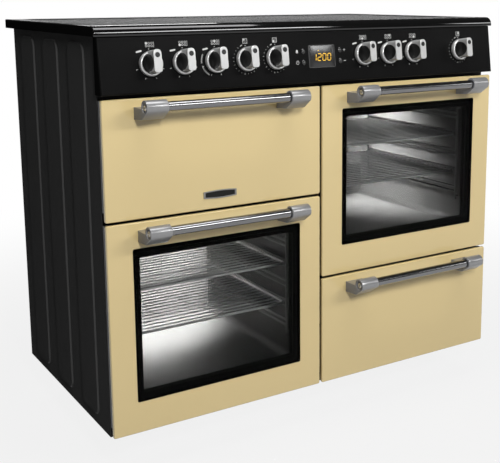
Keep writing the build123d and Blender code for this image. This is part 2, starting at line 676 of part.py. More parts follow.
def rack(wall, inward, floor):
    x = wall + inward * RACK_STAND
    with BuildPart() as wires:
        for depth in (RACK_FRONT, RACK_REAR):
            with BuildSketch(level_plane(floor + RACK_FIRST - 20)):
                with Locations((x, depth)):
                    Circle(RACK_UPRIGHT)
            extrude(amount=RACK_TOP - RACK_FIRST + 40)
            with BuildSketch(side_plane(x)):
                with Locations((depth, floor + RACK_FIRST - 12), (depth, floor + RACK_TOP + 12)):
                    Circle(RACK_WIRE)
            extrude(amount=-inward * RACK_STAND)
        for level in range(RACK_LEVELS):
            with BuildSketch(face_plane(RACK_REAR)):
                base = floor + RACK_FIRST + level * RACK_PITCH
                with Locations((x, base), (x, base + RACK_PAIR)):
                    Circle(RACK_WIRE)
            extrude(amount=RACK_REAR - RACK_FRONT)
    return wires.part


WALL = CAVITY_WIDTH / 2
with BuildPart() as shelf_racks:
    add(rack(LEFT_X - WALL, 1, MAIN_FLOOR))
    add(rack(LEFT_X + WALL, -1, MAIN_FLOOR))
    add(rack(RIGHT_X - WALL, 1, RIGHT_FLOOR))
    add(rack(RIGHT_X + WALL, -1, RIGHT_FLOOR))
hand_in(shelf_racks.part, "shelf_racks")


# Wire shelf: a rod frame that lies on the runner wires, with thin wires across it
def shelf(centre, z):
    half = WALL - RACK_STAND
    front = RACK_FRONT + 8
    rear = RACK_REAR - 8
    pitch = (rear - front) / (SHELF_WIRES + 1)
    with BuildPart() as grid:
        with BuildLine(level_plane(z)) as rim:
            FilletPolyline(
                (centre - half, front),
                (centre + half, front),
                (centre + half, rear),
                (centre - half, rear),
                radius=14,
                close=True,
            )
        with BuildSketch(Plane(origin=rim.line @ 0, z_dir=rim.line % 0)):
            Circle(SHELF_ROD)
        sweep(path=rim.line)
        with BuildSketch(side_plane(centre - half)):
            with Locations(*[(front + pitch * (i + 1), z) for i in range(SHELF_WIRES)]):
                Circle(SHELF_WIRE)
        extrude(amount=2 * half)
    return grid.part


SHELF_LIFT = RACK_FIRST + RACK_WIRE + SHELF_ROD + 0.1
with BuildPart() as oven_shelves:
    for level in (1, 3):
        add(shelf(LEFT_X, MAIN_FLOOR + SHELF_LIFT + level * RACK_PITCH))
        add(shelf(RIGHT_X, RIGHT_FLOOR + SHELF_LIFT + level * RACK_PITCH))
hand_in(oven_shelves.part, "oven_shelves")

# Fan cover, a shallow box on the rear wall of the right oven with air slots
COVER_DEPTH = 34.0
COVER_X = (RIGHT_X - FAN_COVER / 2, RIGHT_X + FAN_COVER / 2)
COVER_Z = (FAN_Z - FAN_COVER / 2, FAN_Z + FAN_COVER / 2)
with BuildPart() as fan_cover:
    block(COVER_X, (CAVITY_BACK - COVER_DEPTH, CAVITY_BACK), COVER_Z)
    block(
        (COVER_X[0] + SHEET, COVER_X[1] - SHEET),
        (CAVITY_BACK - COVER_DEPTH + SHEET, CAVITY_BACK),
        (COVER_Z[0] + SHEET, COVER_Z[1] - SHEET),
        mode=Mode.SUBTRACT,
    )
    with BuildSketch(face_plane(CAVITY_BACK - COVER_DEPTH)):
        with Locations((RIGHT_X, FAN_Z)):
            with PolarLocations(24, 12):
                SlotOverall(26, 7)
            with PolarLocations(50, 18):
                SlotOverall(16, 7)
    extrude(amount=-SHEET, mode=Mode.SUBTRACT)
    with BuildSketch(side_plane(COVER_X[0])):
        with Locations((CAVITY_BACK - COVER_DEPTH / 2, FAN_Z)):
            with GridLocations(1, 24, 1, 8):
                SlotOverall(18, 6)
    extrude(amount=FAN_COVER, mode=Mode.SUBTRACT)
hand_in(fan_cover.part, "fan_cover")

# Convection fan: back disc, radial blades and a shaft through the rear wall
SHAFT_RADIUS = 4.0
FAN_FRONT = CAVITY_BACK - 24
with BuildPart() as convection_fan:
    with BuildSketch(face_plane(FAN_FRONT)):
        with Locations((RIGHT_X, FAN_Z)):
            Circle(FAN_RADIUS)
    extrude(amount=-SHEET)
    with BuildSketch(face_plane(FAN_FRONT)):
        with Locations((RIGHT_X, FAN_Z)):
            with PolarLocations(FAN_RADIUS * 0.72, 12):
                Rectangle(FAN_RADIUS * 0.5, SHEET)
    extrude(amount=-16)
    with BuildSketch(face_plane(FAN_FRONT)):
        with Locations((RIGHT_X, FAN_Z)):
            Circle(3 * SHAFT_RADIUS)
    extrude(amount=-12)
    with BuildSketch(face_plane(FAN_FRONT)):
        with Locations((RIGHT_X, FAN_Z)):
            Circle(SHAFT_RADIUS)
    extrude(amount=-56)
hand_in(convection_fan.part, "convection_fan")

# Fan motor, fixed to the outside of the rear wall
with BuildPart() as fan_motor:
    with BuildSketch(face_plane(CAVITY_BACK + SHEET)):
        with Locations((RIGHT_X, FAN_Z)):
            Rectangle(96, 60)
    extrude(amount=-3)
    with BuildSketch(face_plane(CAVITY_BACK + SHEET)):
        with Locations((RIGHT_X, FAN_Z)):
            Circle(36)
    extrude(amount=-48)
    with BuildSketch(face_plane(CAVITY_BACK + SHEET)):
        with Locations((RIGHT_X, FAN_Z)):
            Circle(SHAFT_RADIUS + RUNNING_CLEARANCE)
    extrude(amount=-34, mode=Mode.SUBTRACT)
hand_in(fan_motor.part, "fan_motor")

# Door seals, flat rings on the front frame round the three mouths
with BuildPart() as door_seals:
    for centre, floor, roof in MOUTHS:
        with BuildSketch(face_plane(FRAME_SETBACK)):
            with Locations((centre, (floor + roof) / 2)):
                RectangleRounded(
                    CAVITY_WIDTH + 2 * (SEAL_INSET + SEAL_WIDTH),
                    roof - floor + 2 * (SEAL_INSET + SEAL_WIDTH),
                    CAVITY_CORNER + SEAL_WIDTH,
                )
                RectangleRounded(
                    CAVITY_WIDTH + 2 * SEAL_INSET,
                    roof - floor + 2 * SEAL_INSET,
                    CAVITY_CORNER,
                    mode=Mode.SUBTRACT,
                )
        extrude(amount=FRAME_SETBACK - DOOR_DEPTH - SEAL_GAP)
hand_in(door_seals.part, "door_seals")

# Door hinges: an arm on the front frame with a pin that the door turns on, two for each door
HINGES = [
    (centre + side * HINGE_X, bottom + HINGE_UP)
    for centre, bottom in ((LEFT_X, MAIN_Z), (LEFT_X, GRILL_Z), (RIGHT_X, RIGHT_Z))
    for side in (-1, 1)
]
with BuildPart() as door_hinges:
    for x, z in HINGES:
        with BuildSketch(side_plane(x - ARM_WIDTH / 2)):
            with Locations((HINGE_BACK, z)):
                Circle(ARM_EYE)
            with Locations(((HINGE_BACK + FRAME_SETBACK) / 2, z)):
                Rectangle(FRAME_SETBACK - HINGE_BACK, 1.4 * ARM_EYE)
        extrude(amount=ARM_WIDTH)
        with BuildSketch(side_plane(x - PIN_LENGTH / 2)):
            with Locations((HINGE_BACK, z)):
                Circle(PIN_RADIUS)
        extrude(amount=PIN_LENGTH)
        block((x - 10, x + 10), (FRAME_SETBACK - 1, FRAME_SETBACK), (z - 9, z + 9))
hand_in(door_hinges.part, "door_hinges")


# Outer door panel: pressed sheet with a shallow turned-back edge, cut out for the glass if it has one
def door_skin(centre, bottom, height, window):
    middle = bottom + height / 2
    with BuildPart() as skin:
        with BuildSketch(face_plane(0)):
            with Locations((centre, middle)):
                RectangleRounded(COLUMN, height, SKIN_CORNER)
        extrude(amount=-SKIN_DEPTH)
        fillet(skin.faces().sort_by(Axis.Y)[0].edges(), radius=2.5)
        with BuildSketch(face_plane(SHEET)):
            with Locations((centre, middle)):
                RectangleRounded(COLUMN - 2 * SHEET, height - 2 * SHEET, SKIN_CORNER - SHEET)
        extrude(amount=SHEET - SKIN_DEPTH, mode=Mode.SUBTRACT)
        if window:
            with BuildSketch(face_plane(0)):
                with Locations((centre, bottom + (WINDOW_BOTTOM + height - WINDOW_TOP) / 2)):
                    RectangleRounded(COLUMN - 2 * WINDOW_SIDE, height - WINDOW_BOTTOM - WINDOW_TOP, 3)
            extrude(amount=-SHEET, mode=Mode.SUBTRACT)
    return skin.part


# Inner door pan, with a window channel that holds the inner glass and ears for the hinge pins
def door_liner(centre, bottom, height, window, ears):
    left = centre - COLUMN / 2 + SHEET + LINER_GAP
    right = centre + COLUMN / 2 - SHEET - LINER_GAP
    low = bottom + LINER_RISE
    high = bottom + height - SHEET - LINER_GAP
    clear_w = COLUMN - 2 * (WINDOW_SIDE + WINDOW_BORDER)
    clear_h = height - WINDOW_BOTTOM - WINDOW_TOP - 2 * WINDOW_BORDER
    window_z = bottom + (WINDOW_BOTTOM + height - WINDOW_TOP) / 2
    channel = 2 * (PANE_LAP + LINER_SHEET)
    with BuildPart() as pan:
        block((left, right), (SHEET, DOOR_DEPTH), (low, high))
        with BuildSketch(face_plane(SHEET)):
            with Locations(((left + right) / 2, (low + high) / 2)):
                Rectangle(right - left - 2 * LINER_SHEET, high - low - 2 * LINER_SHEET)
            if window:
                with Locations((centre, window_z)):
                    Rectangle(clear_w + channel, clear_h + channel, mode=Mode.SUBTRACT)
        extrude(amount=SHEET + LINER_SHEET - DOOR_DEPTH, mode=Mode.SUBTRACT)
        if window:
            with BuildSketch(face_plane(SHEET)):
                with Locations((centre, window_z)):
                    Rectangle(clear_w + 2 * PANE_LAP, clear_h + 2 * PANE_LAP)
            extrude(amount=SHEET + LINER_SHEET - DOOR_DEPTH, mode=Mode.SUBTRACT)
            with BuildSketch(face_plane(SHEET)):
                with Locations((centre, window_z)):
                    Rectangle(clear_w, clear_h)
            extrude(amount=SHEET - DOOR_DEPTH, mode=Mode.SUBTRACT)
            with BuildSketch(face_plane(SHEET)):
                with Locations((centre, window_z)):
                    Rectangle(clear_w + 2 * channel, clear_h + 2 * channel)
            extrude(amount=-PANE_THICKNESS, mode=Mode.SUBTRACT)
        if ears:
            for side in (-1, 1):
                for lug in (-1, 1):
                    offset_x = lug * (ARM_WIDTH + EAR_WIDTH + 2 * EAR_GAP) / 2 - EAR_WIDTH / 2
                    with BuildSketch(side_plane(centre + side * HINGE_X + offset_x)):
                        with Locations((HINGE_BACK, bottom + HINGE_UP)):
                            Circle(EAR_RADIUS)
                        with Locations((HINGE_BACK, (bottom + HINGE_UP + low + LINER_SHEET) / 2)):
                            Rectangle(2 * EAR_RADIUS, low + LINER_SHEET - bottom - HINGE_UP)
                        with Locations((HINGE_BACK, bottom + HINGE_UP)):
                            Circle(PIN_RADIUS + RUNNING_CLEARANCE, mode=Mode.SUBTRACT)
                    extrude(amount=EAR_WIDTH)
    return pan.part


# The two panes of an oven door: the outer one behind the panel, the inner one in the channel
def door_panes(centre, bottom, height):
    clear_w = COLUMN - 2 * (WINDOW_SIDE + WINDOW_BORDER)
    clear_h = height - WINDOW_BOTTOM - WINDOW_TOP - 2 * WINDOW_BORDER
    window_z = bottom + (WINDOW_BOTTOM + height - WINDOW_TOP) / 2
    outer = 4 * (PANE_LAP + LINER_SHEET) - 0.4
    with BuildPart() as panes:
        with BuildSketch(face_plane(SHEET)):
            with Locations((centre, window_z)):
                Rectangle(clear_w + outer, clear_h + outer)
        extrude(amount=-PANE_THICKNESS)
        with BuildSketch(face_plane(DOOR_DEPTH - LINER_SHEET)):
            with Locations((centre, window_z)):
                Rectangle(clear_w + 2 * PANE_LAP - 0.4, clear_h + 2 * PANE_LAP - 0.4)
        extrude(amount=PANE_THICKNESS)
    return panes.part


# Handle bar, a plain round tube let into the two end mounts
BAR_END = HANDLE_LENGTH / 2 - MOUNT_LENGTH * 0.3


def handle_bar(centre, top):
    with BuildPart() as bar:
        with BuildSketch(side_plane(centre - BAR_END)):
            with Locations((-BAR_STANDOFF, top - BAR_DROP)):
                Circle(BAR_RADIUS)
                Circle(BAR_RADIUS - 2 * SHEET, mode=Mode.SUBTRACT)
        extrude(amount=2 * BAR_END)
    return bar.part


# Handle mount: a foot on the door, a slanted web and a round socket for the bar
def handle_mount(centre, top, side):
    axis_z = top - BAR_DROP
    outer = centre + side * HANDLE_LENGTH / 2
    inner = outer - side * MOUNT_LENGTH
    slant = MOUNT_RADIUS * 0.85
    with BuildPart() as mount:
        with BuildSketch(side_plane(min(outer, inner))):
            with BuildLine():
                Polyline(
                    (0, axis_z - MOUNT_FOOT_DROP),
                    (-BAR_STANDOFF, axis_z - MOUNT_FOOT_DROP),
                    (-BAR_STANDOFF - slant, axis_z - MOUNT_RADIUS * 0.52),
                    (-BAR_STANDOFF + slant, axis_z - MOUNT_FOOT_DROP - MOUNT_FOOT + 3),
                    (0, axis_z - MOUNT_FOOT_DROP - MOUNT_FOOT),
                    close=True,
                )
            make_face()
            with Locations((-BAR_STANDOFF, axis_z)):
                Circle(MOUNT_RADIUS)
        extrude(amount=MOUNT_LENGTH)
        with BuildSketch(side_plane(outer)):
            with Locations((-BAR_STANDOFF, axis_z)):
                Circle(MOUNT_RADIUS - 4)
        extrude(amount=-side * 4, mode=Mode.SUBTRACT)
        with BuildSketch(side_plane(inner)):
            with Locations((-BAR_STANDOFF, axis_z)):
                Circle(BAR_RADIUS + RUNNING_CLEARANCE)
        extrude(amount=side * MOUNT_LENGTH * 0.7, mode=Mode.SUBTRACT)
    return mount.part


# Screw head in the end recess of a mount
def mount_screw(centre, top, side):
    with BuildPart() as screw:
        with BuildSketch(side_plane(centre + side * (HANDLE_LENGTH / 2 - 3.9))):
            with Locations((-BAR_STANDOFF, top - BAR_DROP)):
                Circle(MOUNT_RADIUS * 0.42)
                RegularPolygon(radius=MOUNT_RADIUS * 0.2, side_count=6, mode=Mode.SUBTRACT)
        extrude(amount=side * 3)
    return screw.part


def handle(centre, top, name):
    hand_in(handle_bar(centre, top), name + "_handle_bar")
    with BuildPart() as mounts:
        for side in (-1, 1):
            add(handle_mount(centre, top, side))
            add(mount_screw(centre, top, side))
    hand_in(mounts.part, name + "_handle_mounts")


# Grill door
hand_in(door_skin(LEFT_X, GRILL_Z, GRILL_DOOR_HEIGHT, False), "grill_door_skin")
hand_in(door_liner(LEFT_X, GRILL_Z, GRILL_DOOR_HEIGHT, False, True), "grill_door_liner")
handle(LEFT_X, DOOR_TOP, "grill_door")

# Bare plate on the grill door, slightly barrel-shaped with a raised rim
PLATE_WIDTH = 75.0
PLATE_HEIGHT = 17.0
PLATE_BULGE = 2.0
PLATE_RISE = 30.0
PLATE_Z = GRILL_Z + PLATE_RISE
PLATE_RIM = 1.6
PLATE_THICKNESS = 2.0


def plate_layer(inset, front, back):
    half_w = PLATE_WIDTH / 2 - inset
    half_h = PLATE_HEIGHT / 2 - inset
    end_h = half_h - PLATE_BULGE
    with BuildPart() as layer:
        with BuildSketch(face_plane(back)):
            with BuildLine():
                ThreePointArc(
                    (LEFT_X - half_w, PLATE_Z - end_h),
                    (LEFT_X, PLATE_Z - half_h),
                    (LEFT_X + half_w, PLATE_Z - end_h),
                )
                Line((LEFT_X + half_w, PLATE_Z - end_h), (LEFT_X + half_w, PLATE_Z + end_h))
                ThreePointArc(
                    (LEFT_X + half_w, PLATE_Z + end_h),
                    (LEFT_X, PLATE_Z + half_h),
                    (LEFT_X - half_w, PLATE_Z + end_h),
                )
                Line((LEFT_X - half_w, PLATE_Z + end_h), (LEFT_X - half_w, PLATE_Z - end_h))
            make_face()
        extrude(amount=back - front)
    return layer.part


with BuildPart() as grill_door_plate:
    add(plate_layer(0, -PLATE_THICKNESS, 0))
    add(plate_layer(PLATE_RIM, -PLATE_THICKNESS, -PLATE_THICKNESS * 0.65), mode=Mode.SUBTRACT)
hand_in(grill_door_plate.part, "grill_door_plate")

# Main oven door
hand_in(door_skin(LEFT_X, MAIN_Z, MAIN_DOOR_HEIGHT, True), "main_door_skin")
hand_in(door_liner(LEFT_X, MAIN_Z, MAIN_DOOR_HEIGHT, True, True), "main_door_liner")
hand_in(door_panes(LEFT_X, MAIN_Z, MAIN_DOOR_HEIGHT), "main_door_panes")
handle(LEFT_X, MAIN_Z + MAIN_DOOR_HEIGHT, "main_door")

# Right oven door
hand_in(door_skin(RIGHT_X, RIGHT_Z, RIGHT_DOOR_HEIGHT, True), "right_door_skin")
hand_in(door_liner(RIGHT_X, RIGHT_Z, RIGHT_DOOR_HEIGHT, True, True), "right_door_liner")
hand_in(door_panes(RIGHT_X, RIGHT_Z, RIGHT_DOOR_HEIGHT), "right_door_panes")
handle(RIGHT_X, DOOR_TOP, "right_door")

# Drawer front
hand_in(door_skin(RIGHT_X, MAIN_Z, DRAWER_FRONT_HEIGHT, False), "drawer_front")
handle(RIGHT_X, MAIN_Z + DRAWER_FRONT_HEIGHT, "drawer")

# Drawer box: inner front pan, and a tray of floor, rear and two sides with lips for the runners
WELD_GAP = 0.1
BOX_HALF = COLUMN / 2 - 34
BOX_FLOOR = MAIN_Z + 22
BOX_HEIGHT = 130.0
BOX_REAR = DOOR_DEPTH + 430.0
LIP = 10.0
BOX_TOP = BOX_FLOOR + BOX_HEIGHT
LIP_Z = BOX_TOP - 20
WALL_FOOT = BOX_FLOOR + SHEET + WELD_GAP
WALL_INSIDE = BOX_HALF - SHEET
drawer_pan = door_liner(RIGHT_X, MAIN_Z, DRAWER_FRONT_HEIGHT, False, False)
with BuildPart() as drawer_box:
    add(drawer_pan)
    block(
        (RIGHT_X - BOX_HALF, RIGHT_X + BOX_HALF),
        (DOOR_DEPTH + WELD_GAP, BOX_REAR),
        (BOX_FLOOR, BOX_FLOOR + SHEET),
    )
    block(
        (RIGHT_X - WALL_INSIDE + WELD_GAP, RIGHT_X + WALL_INSIDE - WELD_GAP),
        (BOX_REAR - SHEET, BOX_REAR),
        (WALL_FOOT, BOX_TOP),
    )
    for side in (-1, 1):
        wall = sorted((RIGHT_X + side * WALL_INSIDE, RIGHT_X + side * BOX_HALF))
        lip = sorted((RIGHT_X + side * WALL_INSIDE, RIGHT_X + side * (BOX_HALF + LIP)))
        block(wall, (DOOR_DEPTH + WELD_GAP, BOX_REAR), (WALL_FOOT, BOX_TOP))
        block(lip, (FRAME_BACK + 12, BOX_REAR), (LIP_Z, LIP_Z + SHEET))
hand_in(drawer_box.part, "drawer_box")

# Drawer runners: a channel on each side of the drawer space
RUNNER_GAP = 0.3
RUNNER_X = [
    (SHEET / 2, RIGHT_X - BOX_HALF - 2, -1),
    (RIGHT_X + BOX_HALF + 2, BODY_INSIDE, 1),
]
with BuildPart() as drawer_runners:
    for near, far, side in RUNNER_X:
        web = (near, near + SHEET) if side < 0 else (far - SHEET, far)
        depth = (FRAME_BACK + 2 * SHEET, BOX_REAR + 10)
        low = LIP_Z - RUNNER_GAP - SHEET
        high = LIP_Z + SHEET + RUNNER_GAP
        block(web, depth, (low, high + SHEET))
        block((near, far), depth, (low, low + SHEET))
        block((near, far), depth, (high, high + SHEET))
hand_in(drawer_runners.part, "drawer_runners")

# Terminal box on the back panel, with a cable gland pointing down
BOX_X = BODY_WIDTH / 4
BOX_RISE = 260.0
BOX_Z = LEG_HEIGHT + BOX_RISE
BOX_SIZE = (110.0, 30.0, 90.0)
GLAND_RADIUS = 10.0
GLAND_LENGTH = 16.0
GLAND_DEPTH = BODY_BACK + BOX_SIZE[1] / 2
with BuildPart() as terminal_box:
    block(
        (BOX_X - BOX_SIZE[0] / 2, BOX_X + BOX_SIZE[0] / 2),
        (BODY_BACK, BODY_BACK + BOX_SIZE[1]),
        (BOX_Z, BOX_Z + BOX_SIZE[2]),
    )
    fillet(terminal_box.edges().filter_by(Axis.Y), radius=4)
    block(
        (BOX_X - BOX_SIZE[0] / 2 + 3, BOX_X + BOX_SIZE[0] / 2 - 3),
        (BODY_BACK, BODY_BACK + BOX_SIZE[1] - 3),
        (BOX_Z + 3, BOX_Z + BOX_SIZE[2] - 3),
        mode=Mode.SUBTRACT,
    )
    with BuildSketch(level_plane(BOX_Z - GLAND_LENGTH)):
        with Locations((BOX_X, GLAND_DEPTH)):
            Circle(GLAND_RADIUS + 3)
    extrude(amount=GLAND_LENGTH + 3)
    with BuildSketch(level_plane(BOX_Z - GLAND_LENGTH)):
        with Locations((BOX_X, GLAND_DEPTH)):
            Circle(GLAND_RADIUS)
    extrude(amount=GLAND_LENGTH + 3, mode=Mode.SUBTRACT)
hand_in(terminal_box.part, "terminal_box")
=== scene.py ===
import math

import bmesh
import bpy
from mathutils import Matrix, Vector


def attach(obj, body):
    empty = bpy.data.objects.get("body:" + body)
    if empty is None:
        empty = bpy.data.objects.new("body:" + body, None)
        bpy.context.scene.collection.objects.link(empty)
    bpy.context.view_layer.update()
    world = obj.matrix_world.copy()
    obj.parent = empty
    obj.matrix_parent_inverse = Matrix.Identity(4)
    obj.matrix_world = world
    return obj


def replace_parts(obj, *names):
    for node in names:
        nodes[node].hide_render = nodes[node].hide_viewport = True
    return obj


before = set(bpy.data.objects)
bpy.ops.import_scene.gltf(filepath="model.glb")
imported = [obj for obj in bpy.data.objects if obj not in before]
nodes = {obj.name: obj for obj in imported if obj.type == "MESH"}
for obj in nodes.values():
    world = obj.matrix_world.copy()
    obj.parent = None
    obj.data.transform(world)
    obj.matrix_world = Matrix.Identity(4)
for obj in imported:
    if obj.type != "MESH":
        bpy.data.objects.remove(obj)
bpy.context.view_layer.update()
MM = 0.001

# Hidden cabinet sheet: base tray, partition, back panel, runners, hinge brackets, heater pans.
# Galvanised steel, cut and folded and screwed together; the zinc shows as pale grey flakes.
def add_node(tree, kind, settings=None, **inputs):
    made = tree.nodes.new("ShaderNode" + kind)
    for key, value in (settings or {}).items():
        setattr(made, key, value)
    for key, value in inputs.items():
        made.inputs[key.replace("_", " ")].default_value = value
    return made


def new_group(name, inputs, outputs):
    group = bpy.data.node_groups.new(name, "ShaderNodeTree")
    for label, kind, value in inputs:
        socket = group.interface.new_socket(label, in_out="INPUT", socket_type="NodeSocket" + kind)
        socket.default_value = value
    for label, kind in outputs:
        group.interface.new_socket(label, in_out="OUTPUT", socket_type="NodeSocket" + kind)
    return group, group.nodes.new("NodeGroupInput"), group.nodes.new("NodeGroupOutput")


# Places of the colour sockets on a Mix node
MIX_A, MIX_B, MIX_OUT = 6, 7, 2
# Gloss patches are this much finer than the clouds of tone
PATCH_RATIO = 2.7
# Uneven surface: two tones, two gloss levels and a fine relief, all from object coordinates
uneven, uneven_in, uneven_out = new_group(
    "uneven_surface",
    [
        ("Tone A", "Color", (0.5, 0.5, 0.5, 1)),
        ("Tone B", "Color", (0.6, 0.6, 0.6, 1)),
        ("Scale", "Float", 8.0),
        ("Stretch", "Vector", (1, 1, 1)),
        ("Smooth", "Float", 0.2),
        ("Rough", "Float", 0.3),
        ("Relief Scale", "Float", 300.0),
    ],
    [("Color", "Color"), ("Roughness", "Float"), ("Height", "Float")],
)
place_in = add_node(uneven, "TexCoord")
stretched = add_node(uneven, "VectorMath", {"operation": "MULTIPLY"})
cloud = add_node(uneven, "TexNoise", Detail=4.0, Roughness=0.55)
patch = add_node(uneven, "TexNoise", Detail=3.0, Roughness=0.6)
grain = add_node(uneven, "TexNoise", Detail=2.0, Roughness=0.5)
patch_scale = add_node(uneven, "Math", {"operation": "MULTIPLY"})
patch_scale.inputs[1].default_value = PATCH_RATIO
tones = add_node(uneven, "Mix", {"data_type": "RGBA"})
gloss = add_node(uneven, "MapRange", From_Min=0.3, From_Max=0.7)
join = uneven.links.new
join(place_in.outputs["Object"], stretched.inputs[0])
join(uneven_in.outputs["Stretch"], stretched.inputs[1])
join(uneven_in.outputs["Scale"], patch_scale.inputs[0])
for texture in (cloud, patch, grain):
    join(stretched.outputs[0], texture.inputs["Vector"])
join(uneven_in.outputs["Scale"], cloud.inputs["Scale"])
join(patch_scale.outputs[0], patch.inputs["Scale"])
join(uneven_in.outputs["Relief Scale"], grain.inputs["Scale"])
join(cloud.outputs[0], tones.inputs[0])
join(uneven_in.outputs["Tone A"], tones.inputs[MIX_A])
join(uneven_in.outputs["Tone B"], tones.inputs[MIX_B])
join(patch.outputs[0], gloss.inputs["Value"])
join(uneven_in.outputs["Smooth"], gloss.inputs["To Min"])
join(uneven_in.outputs["Rough"], gloss.inputs["To Max"])
join(tones.outputs[MIX_OUT], uneven_out.inputs["Color"])
join(gloss.outputs[0], uneven_out.inputs["Roughness"])
join(grain.outputs[0], uneven_out.inputs["Height"])

# Flecks: round spots scattered over a surface, as a mask, and a grey of its own for each cell
flecks, flecks_in, flecks_out = new_group(
    "flecks",
    [("Scale", "Float", 300.0), ("Size", "Float", 0.2)],
    [("Mask", "Float"), ("Cell", "Float")],
)
fleck_place = add_node(flecks, "TexCoord")
cells = add_node(flecks, "TexVoronoi")
spot = add_node(flecks, "Math", {"operation": "LESS_THAN"})
shade = add_node(flecks, "SeparateColor")
join = flecks.links.new
join(fleck_place.outputs["Object"], cells.inputs["Vector"])
join(flecks_in.outputs["Scale"], cells.inputs["Scale"])
join(cells.outputs["Distance"], spot.inputs[0])
join(flecks_in.outputs["Size"], spot.inputs[1])
join(cells.outputs["Color"], shade.inputs[0])
join(spot.outputs[0], flecks_out.inputs["Mask"])
join(shade.outputs[0], flecks_out.inputs["Cell"])


def new_finish(
    name, tone_a, tone_b, scale, smooth, rough, relief, depth, stretch=(1, 1, 1), fleck=None, **fixed
):
    """Uneven finish; fleck gives the spots' scale, size, colour and output, fixed the plain inputs."""
    made = bpy.data.materials.new(name)
    made.use_nodes = True
    tree = made.node_tree
    shader = tree.nodes["Principled BSDF"]
    for key, value in fixed.items():
        shader.inputs[key.replace("_", " ")].default_value = value
    skin = tree.nodes.new("ShaderNodeGroup")
    skin.node_tree = uneven
    values = {
        "Tone A": (*tone_a, 1), "Tone B": (*tone_b, 1), "Scale": scale, "Stretch": stretch,
        "Smooth": smooth, "Rough": rough, "Relief Scale": relief,
    }
    for label, value in values.items():
        skin.inputs[label].default_value = value
    bump = add_node(tree, "Bump", Strength=1.0, Distance=depth)
    tree.links.new(skin.outputs["Height"], bump.inputs["Height"])
    tree.links.new(bump.outputs[0], shader.inputs["Normal"])
    tree.links.new(skin.outputs["Roughness"], shader.inputs["Roughness"])
    colour = skin.outputs["Color"]
    if fleck:
        fleck_scale, fleck_size, fleck_tone, fleck_output = fleck
        spots = tree.nodes.new("ShaderNodeGroup")
        spots.node_tree = flecks
        spots.inputs["Scale"].default_value = fleck_scale
        spots.inputs["Size"].default_value = fleck_size
        dotted = add_node(tree, "Mix", {"data_type": "RGBA"})
        dotted.inputs[MIX_B].default_value = (*fleck_tone, 1)
        tree.links.new(spots.outputs[fleck_output], dotted.inputs[0])
        tree.links.new(colour, dotted.inputs[MIX_A])
        colour = dotted.outputs[MIX_OUT]
    tree.links.new(colour, shader.inputs["Base Color"])
    return made


def dress(material, *names):
    for name in names:
        data = nodes[name].data
        data.materials.clear()
        data.materials.append(material)
        for face in data.polygons:
            face.material_index = 0


def dress_where(material, chosen, *names):
    """Another finish on the faces that a test picks by their normal."""
    for name in names:
        data = nodes[name].data
        data.materials.append(material)
        for face in data.polygons:
            if chosen(face.normal):
                face.material_index = len(data.materials) - 1


zinc = new_finish(
    "zinc_sheet", (0.30, 0.31, 0.32), (0.42, 0.43, 0.44), 14, 0.32, 0.5, 120, 0.00005,
    fleck=(70, 0.2, (0.55, 0.56, 0.57), "Cell"), Metallic=0.85,
)
dress(zinc, "base_tray", "centre_partition", "back_panel", "drawer_runners", "radiant_heaters")
dress(zinc, "door_hinges", "fan_motor", "cabinet_screws")

# Side panels: pressed steel sheets with three upright ribs, coated in matt black paint. The slopes of the
# ribs are painted a touch paler, a painted highlight along the rib edges. They hang on the frame and base
# tray and are screwed along the rear edge.
side_paint = new_finish(
    "side_paint", (0.068, 0.068, 0.068), (0.078, 0.078, 0.078), 5, 0.55, 0.65, 900, 0.000005,
    Specular_IOR_Level=0.0,
)
# Paler grey on the rib slopes, picked by their normals: painted highlight along the ribs
rib_painted_highlight = new_finish(
    "rib_painted_highlight", (0.075, 0.075, 0.075), (0.085, 0.085, 0.085), 5, 0.4, 0.5, 900, 0.000005,
    Specular_IOR_Level=0.02,
)
dress(side_paint, "side_panel_left", "side_panel_right")
dress_where(rib_painted_highlight, lambda normal: 0.5 < abs(normal.x) < 0.9, "side_panel_left", "side_panel_right")

# Feet, terminal box, switches and timer case: moulded black plastic, faintly grained.
# The feet screw up into the base tray and lock with their nuts.
black_plastic = new_finish(
    "black_plastic", (0.012, 0.012, 0.013), (0.02, 0.02, 0.021), 30, 0.38, 0.55, 1200, 0.00004,
    Specular_IOR_Level=0.35,
)
dress(black_plastic, "levelling_feet", "terminal_box", "control_switches", "timer_module")

# Front frame, inner door pans and drawer box: steel with a black stoved enamel.
# The frame closes the cabinet behind the doors and carries the hinge pins.
frame_enamel = new_finish(
    "frame_enamel", (0.005, 0.005, 0.005), (0.008, 0.008, 0.008), 9, 0.28, 0.4, 500, 0.00002,
    Specular_IOR_Level=0.12,
)
dress(frame_enamel, "front_frame", "grill_door_liner", "main_door_liner", "right_door_liner", "drawer_box")

# Oven and grill liners with the fan cover: dark grey vitreous enamel with fine pale specks.
# Each liner is a welded box fixed to the front frame by its flange.
oven_enamel = new_finish(
    "oven_enamel", (0.034, 0.034, 0.033), (0.042, 0.042, 0.041), 7, 0.36, 0.48, 260, 0.00002,
    fleck=(420, 0.13, (0.12, 0.12, 0.117), "Mask"), Specular_IOR_Level=0.06,
)
dress(oven_enamel, "grill_cavity", "main_oven_cavity", "right_oven_cavity", "fan_cover")

# Heating elements and fan wheel: heat-tinted steel sheath and bare pressed steel.
# The rods pass through the rear wall; the wheel sits on the motor shaft behind its cover.
sheath = new_finish(
    "element_sheath", (0.05, 0.045, 0.04), (0.10, 0.085, 0.07), 40, 0.35, 0.55, 700, 0.00004,
    Metallic=0.8,
)
dress(sheath, "heating_elements")
fan_steel = new_finish(
    "fan_steel", (0.45, 0.45, 0.45), (0.56, 0.56, 0.55), 25, 0.3, 0.45, 600, 0.00003, Metallic=0.9,
)
dress(fan_steel, "convection_fan")

